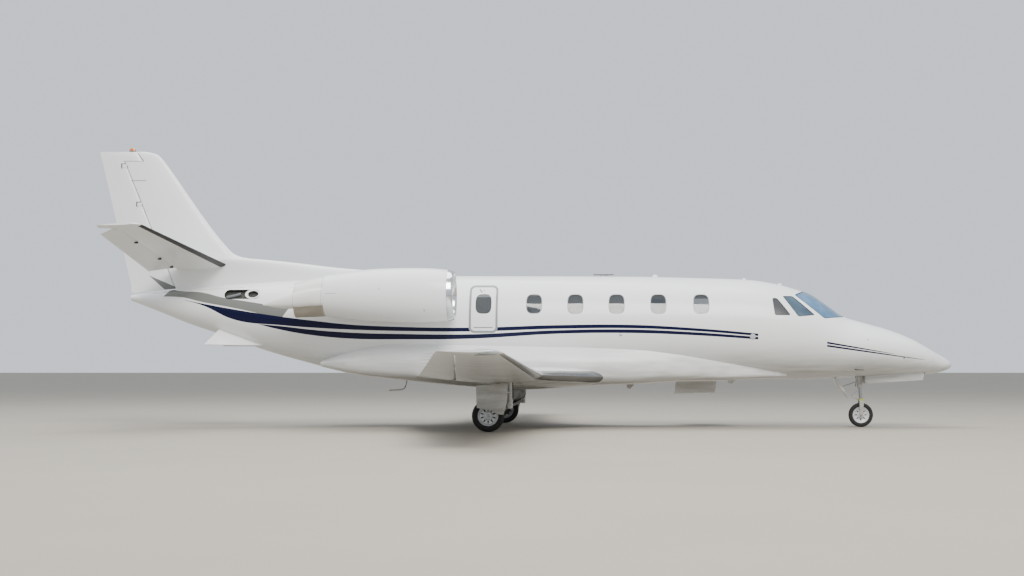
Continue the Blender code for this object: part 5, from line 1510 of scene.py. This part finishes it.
door_paint = finish_of("door_livery_paint", "E9EAEA", "E1E3E4", extra=door_livery, **PAINT)
grip_tape = finish_of("step_grip_tape", "1C1C1D", "29292A", 0.85, 0.0, 0.0, 0.1, 0.8, 0.3)
stair_paint = finish_of("stair_grey_white", "D6D7D5", "C9CAC8", 0.4, 0.0, 0.1, 0.3, 1.5, 0.08, extra=dust_and_low_shade)
mesh_piece("airstair_dress", shut, [stair_paint, grip_tape, bare_steel, door_paint], "airstair_body",
           ("airstair",), 32.0)
print("cabin made")

# %% [markdown]
# ## Small fittings
# Fittings are what tells a jet from a toy: the escape hatch with its painted outline, lamps and
# ports on the flank, antennas, drains, probes, hinge brackets and static wicks. Each is a small
# beveled or turned part seated on the skin at its own station.

# %% Escape hatch
HATCH_SPAN = ((-0.2, -1.3), (-0.1, -1.4))


def hatch_outline(out, radius):
    """The hatch's outline moved out by a distance."""
    return rounded(HATCH_X[0] - out, HATCH_X[1] + out, HATCH_Z[0] - out, HATCH_Z[1] + out, radius)


def hatch_pane_cutter(grow):
    return side_cutter(pane_outline(HATCH_PANE_X, grow), -1, 0.5)


hatch = skin_slab(side_cutter(hatch_outline(-0.004, 0.066), -1, 0.3), HATCH_SPAN, 0.04, -0.0004, -0.1,
                  [hatch_pane_cutter(0.005)])
backing = skin_slab(hatch_pane_cutter(0.02), HATCH_SPAN, 0.04, -0.030, -0.04)
hatch_pane = skin_slab(hatch_pane_cutter(0.0045), HATCH_SPAN, 0.04, -0.006, -0.014)


def on_skin(x, z, out=0.0, side=-1):
    """Point on the flank, pushed out along the skin's normal."""
    y = skin_y(x, z)
    dz = (skin_y(x, z + 0.01) - skin_y(x, z - 0.01)) / 0.02
    dx = (skin_y(x + 0.02, z) - skin_y(x - 0.02, z)) / 0.04
    n = Vector((-dx, 1.0, -dz)).normalized()
    p = Vector((x, y, z)) + n * out
    return Vector((p.x, side * p.y, p.z))


def skin_bar(points, radius, out=0.0, count=10):
    """Round bar laid along the starboard skin."""
    return tube([on_skin(x, z, out) for x, z in points], radius, count)


handle = merged(skin_bar([(-0.80, 2.545), (-0.77, 2.505), (-0.75, 2.49)], 0.007, 0.003),
                skin_bar([(-0.72, 2.525), (-0.71, 2.525)], 0.013, 0.001),
                skin_bar([(-0.895, 1.838), (-0.72, 1.838), (-0.545, 1.838)], 0.006, -0.001))
mesh_piece("exit_hatch_dress", merged(hatch, tint(handle, 1), tint(backing, 2)),
           [white_paint, black_trim_and_shade, shade_cloth], "airframe", ("exit_hatch",), 30.0)
mesh_piece("exit_hatch_pane", hatch_pane, cabin_glass_tint_and_shade, "airframe")
band = skin_slab(side_cutter(hatch_outline(0.036, 0.100), -1, 0.3), HATCH_SPAN, 0.04, 0.0012, -0.003,
                 [side_cutter(hatch_outline(-0.001, 0.069), -1, 0.2, 1.4)])
outline_grey = finish_of("hatch_outline_grey", "8D9094", "828589", **PAINT)
mesh_piece("exit_hatch_outline", band, outline_grey, "airframe", (), 30.0)

# %% Lamps, ports, antennas and drains
lamp_glass = finish_of("lamp_lens", "C8CCCF", "B4B8BC", 0.08, 0.3, 1.0, 0.05, 1.0, 0.02)
flank = []
for side in (1, -1):
    for x, z, r in ((4.17, 1.675, 0.052), (1.775, 1.711, 0.030)):
        flank.append(tube([on_skin(x, z, out, side) for out in (-0.01, 0.004, 0.010, 0.013)],
                          [r, r, r * 0.75, r * 0.3], 32))
mesh_piece("flank_lamps", merged(*flank), lamp_glass)
dark_bits = []
for side in (1, -1):
    for x, z, r in ((6.99, 1.29, 0.014), (6.30, 1.62, 0.011)):
        dark_bits.append(tube([on_skin(x, z, out, side) for out in (-0.004, 0.002)], r, 24))
    foot = on_skin(6.10, 1.075, -0.01, side)
    bends = ((0.0, 0.0, 0.0), (0.005, 0.055, -0.01), (0.03, 0.075, -0.012), (0.15, 0.078, -0.012))
    path = [foot + Vector((x, side * y, z)) for x, y, z in bends]
    dark_bits.append(tube(path, [0.011, 0.010, 0.008, 0.005], 16))
top_z = [(x, float(hull_at(x)[0])) for x in (1.47, 2.43, 4.10, 4.77)]
blade_parts = []
z0 = top_z[0][1]
dark_bits.append(block((1.275, 1.655), (-0.05, 0.05), (z0 + 0.028, z0 + 0.040), 0.005))
blade_parts.append(block((1.40, 1.55), (-0.02, 0.02), (z0 - 0.01, z0 + 0.030), 0.004))
for (x, z), size in zip(top_z[1:], (0.045, 0.03, 0.035)):
    levels = (-0.01, 0.5 * size, 0.85 * size, size)
    radii = [size * share for share in (1.3, 1.1, 0.7, 0.2)]
    blade_parts.append(tube([(x, 0.0, z + up) for up in levels], radii, 28))
for x, z, tall in ((1.99, 0.80, 0.085), (3.89, 0.885, 0.075)):
    fin_outline = [(x + 0.07, z + 0.02), (x - 0.10, z + 0.02), (x - 0.085, z - tall + 0.01),
                   (x - 0.02, z - tall)]
    blade_parts.append(softened(prism(fin_outline, "Y", -0.006, 0.006), 0.003))
mast = smooth_open([(-2.22, 0.0, 0.92), (-2.24, 0.0, 0.80), (-2.29, 0.0, 0.715), (-2.42, 0.0, 0.695),
                    (-2.56, 0.0, 0.690)], 5)
blade_parts.append(tube(mast, 0.013, 16))
mesh_piece("blade_antennas", merged(*blade_parts), white_paint)
mesh_piece("probes_and_ports", merged(*dark_bits), black_trim_and_shade)

# %% Auxiliary exhaust, scoop and tail brackets
EXHAUST_X, EXHAUST_Z = -5.00, 2.465


def oval(x, z, wide, tall, count, extra=0):
    """Points round an ellipse, given by its middle and half sizes."""
    return [(x + wide * math.cos(t), z + tall * math.sin(t)) for t in turns(count, extra)]


ring_points = [on_skin(x, z, 0.002) for x, z in oval(EXHAUST_X, EXHAUST_Z, 0.135, 0.086, 48, 2)]
collar = skin_slab(side_cutter(oval(EXHAUST_X, EXHAUST_Z, 0.135, 0.086, 48), -1, 0.3), EXHAUST_SPAN, 0.10,
                   0.001, -0.062,
                   [side_cutter(oval(EXHAUST_X + 0.005, EXHAUST_Z, 0.105, 0.066, 40), -1, 0.2, 1.4)])
mesh_piece("auxiliary_exhaust", merged(tube(ring_points, 0.007, 12), collar), white_paint)
vane = skin_bar([(-5.50, 2.43), (-5.36, 2.46), (-5.24, 2.50)], 0.030, -0.045, count=16)
mesh_piece("ventral_scoop", vane, duct_grey)
brackets, slots = [], []
for s in (1, -1):
    for x, z in ((-7.52, 4.90), (-7.235, 4.18), (-6.93, 3.40)):
        h = fin_half(x, z)
        lo, hi = sorted((s * (h - 0.006), s * (h + 0.004)))
        brackets.append(block((x - 0.055, x + 0.05), (lo, hi), (z - 0.045, z + 0.045), 0.003))
        # Black strips on each bracket face: painted shade of its hinge slot.
        lo, hi = sorted((s * (h + 0.002), s * (h + 0.0052)))
        slots.append(block((x - 0.050, x - 0.032), (lo, hi), (z - 0.050, z + 0.030)))
        slots.append(block((x - 0.050, x + 0.045), (lo, hi), (z + 0.026, z + 0.040)))
    x0, x1, z = -7.37, -7.10, 4.615
    slots.append(tube([(x0, s * fin_half(x0, z), z), (x1, s * (fin_half(x1, z)), z)], 0.0045, 10))
    for y in (0.36, 1.00, 2.20):
        hx, hz, r = elevator_hinge(y)
        slots.append(block((hx - 0.03, hx + 0.035), (s * y - 0.010, s * y + 0.010),
                           (hz - r - 0.030, hz - r + 0.012), 0.004))
JOINTS = (
    (((-6.45, 2.50), (-6.38, 2.32), (-6.30, 2.12), (-6.21, 1.93)), 0.0035, -0.0015),
    (((-7.20, 2.460), (-6.90, 2.500), (-6.55, 2.530), (-6.20, 2.550), (-5.70, 2.575), (-5.20, 2.60)),
     0.003, -0.0015),
    (((-4.40, 2.70), (-4.40, 2.60), (-4.05, 2.58)), 0.003, -0.0012),
)
joints = [skin_bar(*joint) for joint in JOINTS]
mesh_piece("panel_joints", merged(*joints), seam_dark)
mesh_piece("tail_brackets", merged(*brackets, tint(merged(*slots), 1)), [white_paint, black_trim_and_shade])

# %% Beacon, tip lamps, wicks
BEACON_X, BEACON_Z = -7.371, 5.178


def beacon_ring(wide, narrow, z):
    return [(x, y, z) for x, y in oval(BEACON_X, 0.0, wide, narrow, 40)]


dome = []
for k in range(8):
    a = math.radians(90.0 * k / 8)
    dome.append(beacon_ring(0.063 * math.cos(a), 0.0335 * math.cos(a), BEACON_Z + 0.060 * math.sin(a)))
dome.append(beacon_ring(0.002, 0.002, 5.2382))
beacon_base = loft([beacon_ring(0.0635, 0.0338, z) for z in (5.1603, BEACON_Z)])
beacon_amber = finish_of("beacon_amber_lens", "C9741E", "B06114", 0.1, 0.0, 1.0, 0.03, 1.0, 0.02)
mesh_piece("beacon_dress", merged(loft(dome), tint(beacon_base, 1)), [beacon_amber, bare_steel],
           "rudder_body", ("beacon",))
for tag, side, tone in (("L", 1, "D6CFD0"), ("R", -1, "C9D6E0")):
    rings = []
    for y in (8.36, 8.44, 8.50, 8.54, 8.565):
        lead, trail, z, thick = between(WING, y)
        chord = lead - trail
        share = 0.40 if y < 8.5 else 0.30
        cs = [share * f for f in cosine_steps(10)]
        up = [(lead + 0.0015 - c * chord, y, z + half_thick(c, thick) * chord + 0.0012) for c in cs]
        under = [(lead + 0.0015 - c * chord, y, z - half_thick(c, thick) * chord - 0.0012) for c in cs]
        rings.append(list(reversed(up)) + under[1:])
    tip_tone = finish_of("tip_lamp_lens_" + tag, tone, tone, 0.10, 0.6, 1.0, 0.05, 1.0, 0.01)
    mesh_piece("tip_lamp_" + tag, handed(loft(rings), side), tip_tone)
for tag, side in SIDES:
    wicks = []
    for y in (5.9, 6.7, 7.4, 8.0):
        lead, trail, z, thick = between(WING, y)
        ends = [(trail - back, side * y, z) for back in (-0.01, 0.02, 0.12)]
        wicks.append(tube(ends, [0.004, 0.0022, 0.0012], 8))
    mesh_piece("aileron_wicks_" + tag, merged(*wicks), black_trim_and_shade, "aileron_body_" + tag, (), 35.0)
print("fittings made")

# %% [markdown]
# ## Stage
# A plain pale floor, a soft key high up on the camera's side, a wide lamp above and a pale sky. The
# camera stands where the photographer stood: 28 m off the starboard side, at 1.05 m, level.

# %% Floor, light and camera
floor_finish = finish_of("pale_floor", "9C968A", "958F83", 0.75, 0.0, 0.0, 3.0, 8.0, 0.3)
floor_bm = block((-500, 500), (-60, 900), (-0.02, 0.0))
floor_mesh = bpy.data.meshes.new("floor")
floor_bm.to_mesh(floor_mesh)
floor = bpy.data.objects.new("floor", floor_mesh)
floor_mesh.materials.append(floor_finish)
bpy.context.scene.collection.objects.link(floor)

world = bpy.data.worlds.new("sky")
bpy.context.scene.world = world
world.use_nodes = True
back = world.node_tree.nodes["Background"]
back.inputs["Color"].default_value = (0.87, 0.92, 1.0, 1.0)
back.inputs["Strength"].default_value = 1.0


def lamp(name, where, aim, size, power, tone=(1.0, 1.0, 1.0)):
    light = bpy.data.lights.new(name, "AREA")
    light.shape = "RECTANGLE"
    light.size, light.size_y = size
    light.energy = power
    light.color = tone
    obj = bpy.data.objects.new(name, light)
    bpy.context.scene.collection.objects.link(obj)
    obj.location = where
    obj.rotation_euler = (Vector(aim) - Vector(where)).to_track_quat("-Z", "Y").to_euler()


AIM = (0.0, 0.0, 1.5)
lamp("key", (6.0, -22.0, 22.0), AIM, (14.0, 14.0), 11500.0, (1.0, 0.97, 0.92))
lamp("top", (-4.0, 4.0, 26.0), AIM, (22.0, 22.0), 8000.0)
PHOTO_WIDTH_PX, FOCAL_PX = 1024.0, 1492.0
SHIFT_PX = (-88.0, 83.0)
camera_data = bpy.data.cameras.new("camera")
camera_data.sensor_width = 36.0
camera_data.lens = FOCAL_PX / PHOTO_WIDTH_PX * camera_data.sensor_width
camera_data.shift_x, camera_data.shift_y = (shift / PHOTO_WIDTH_PX for shift in SHIFT_PX)
camera_data.clip_end = 2000.0
camera = bpy.data.objects.new("camera", camera_data)
bpy.context.scene.collection.objects.link(camera)
camera.location = (1.398, -28.0, 1.05)
camera.rotation_euler = (math.radians(90.0), 0.0, 0.0)
bpy.context.scene.camera = camera
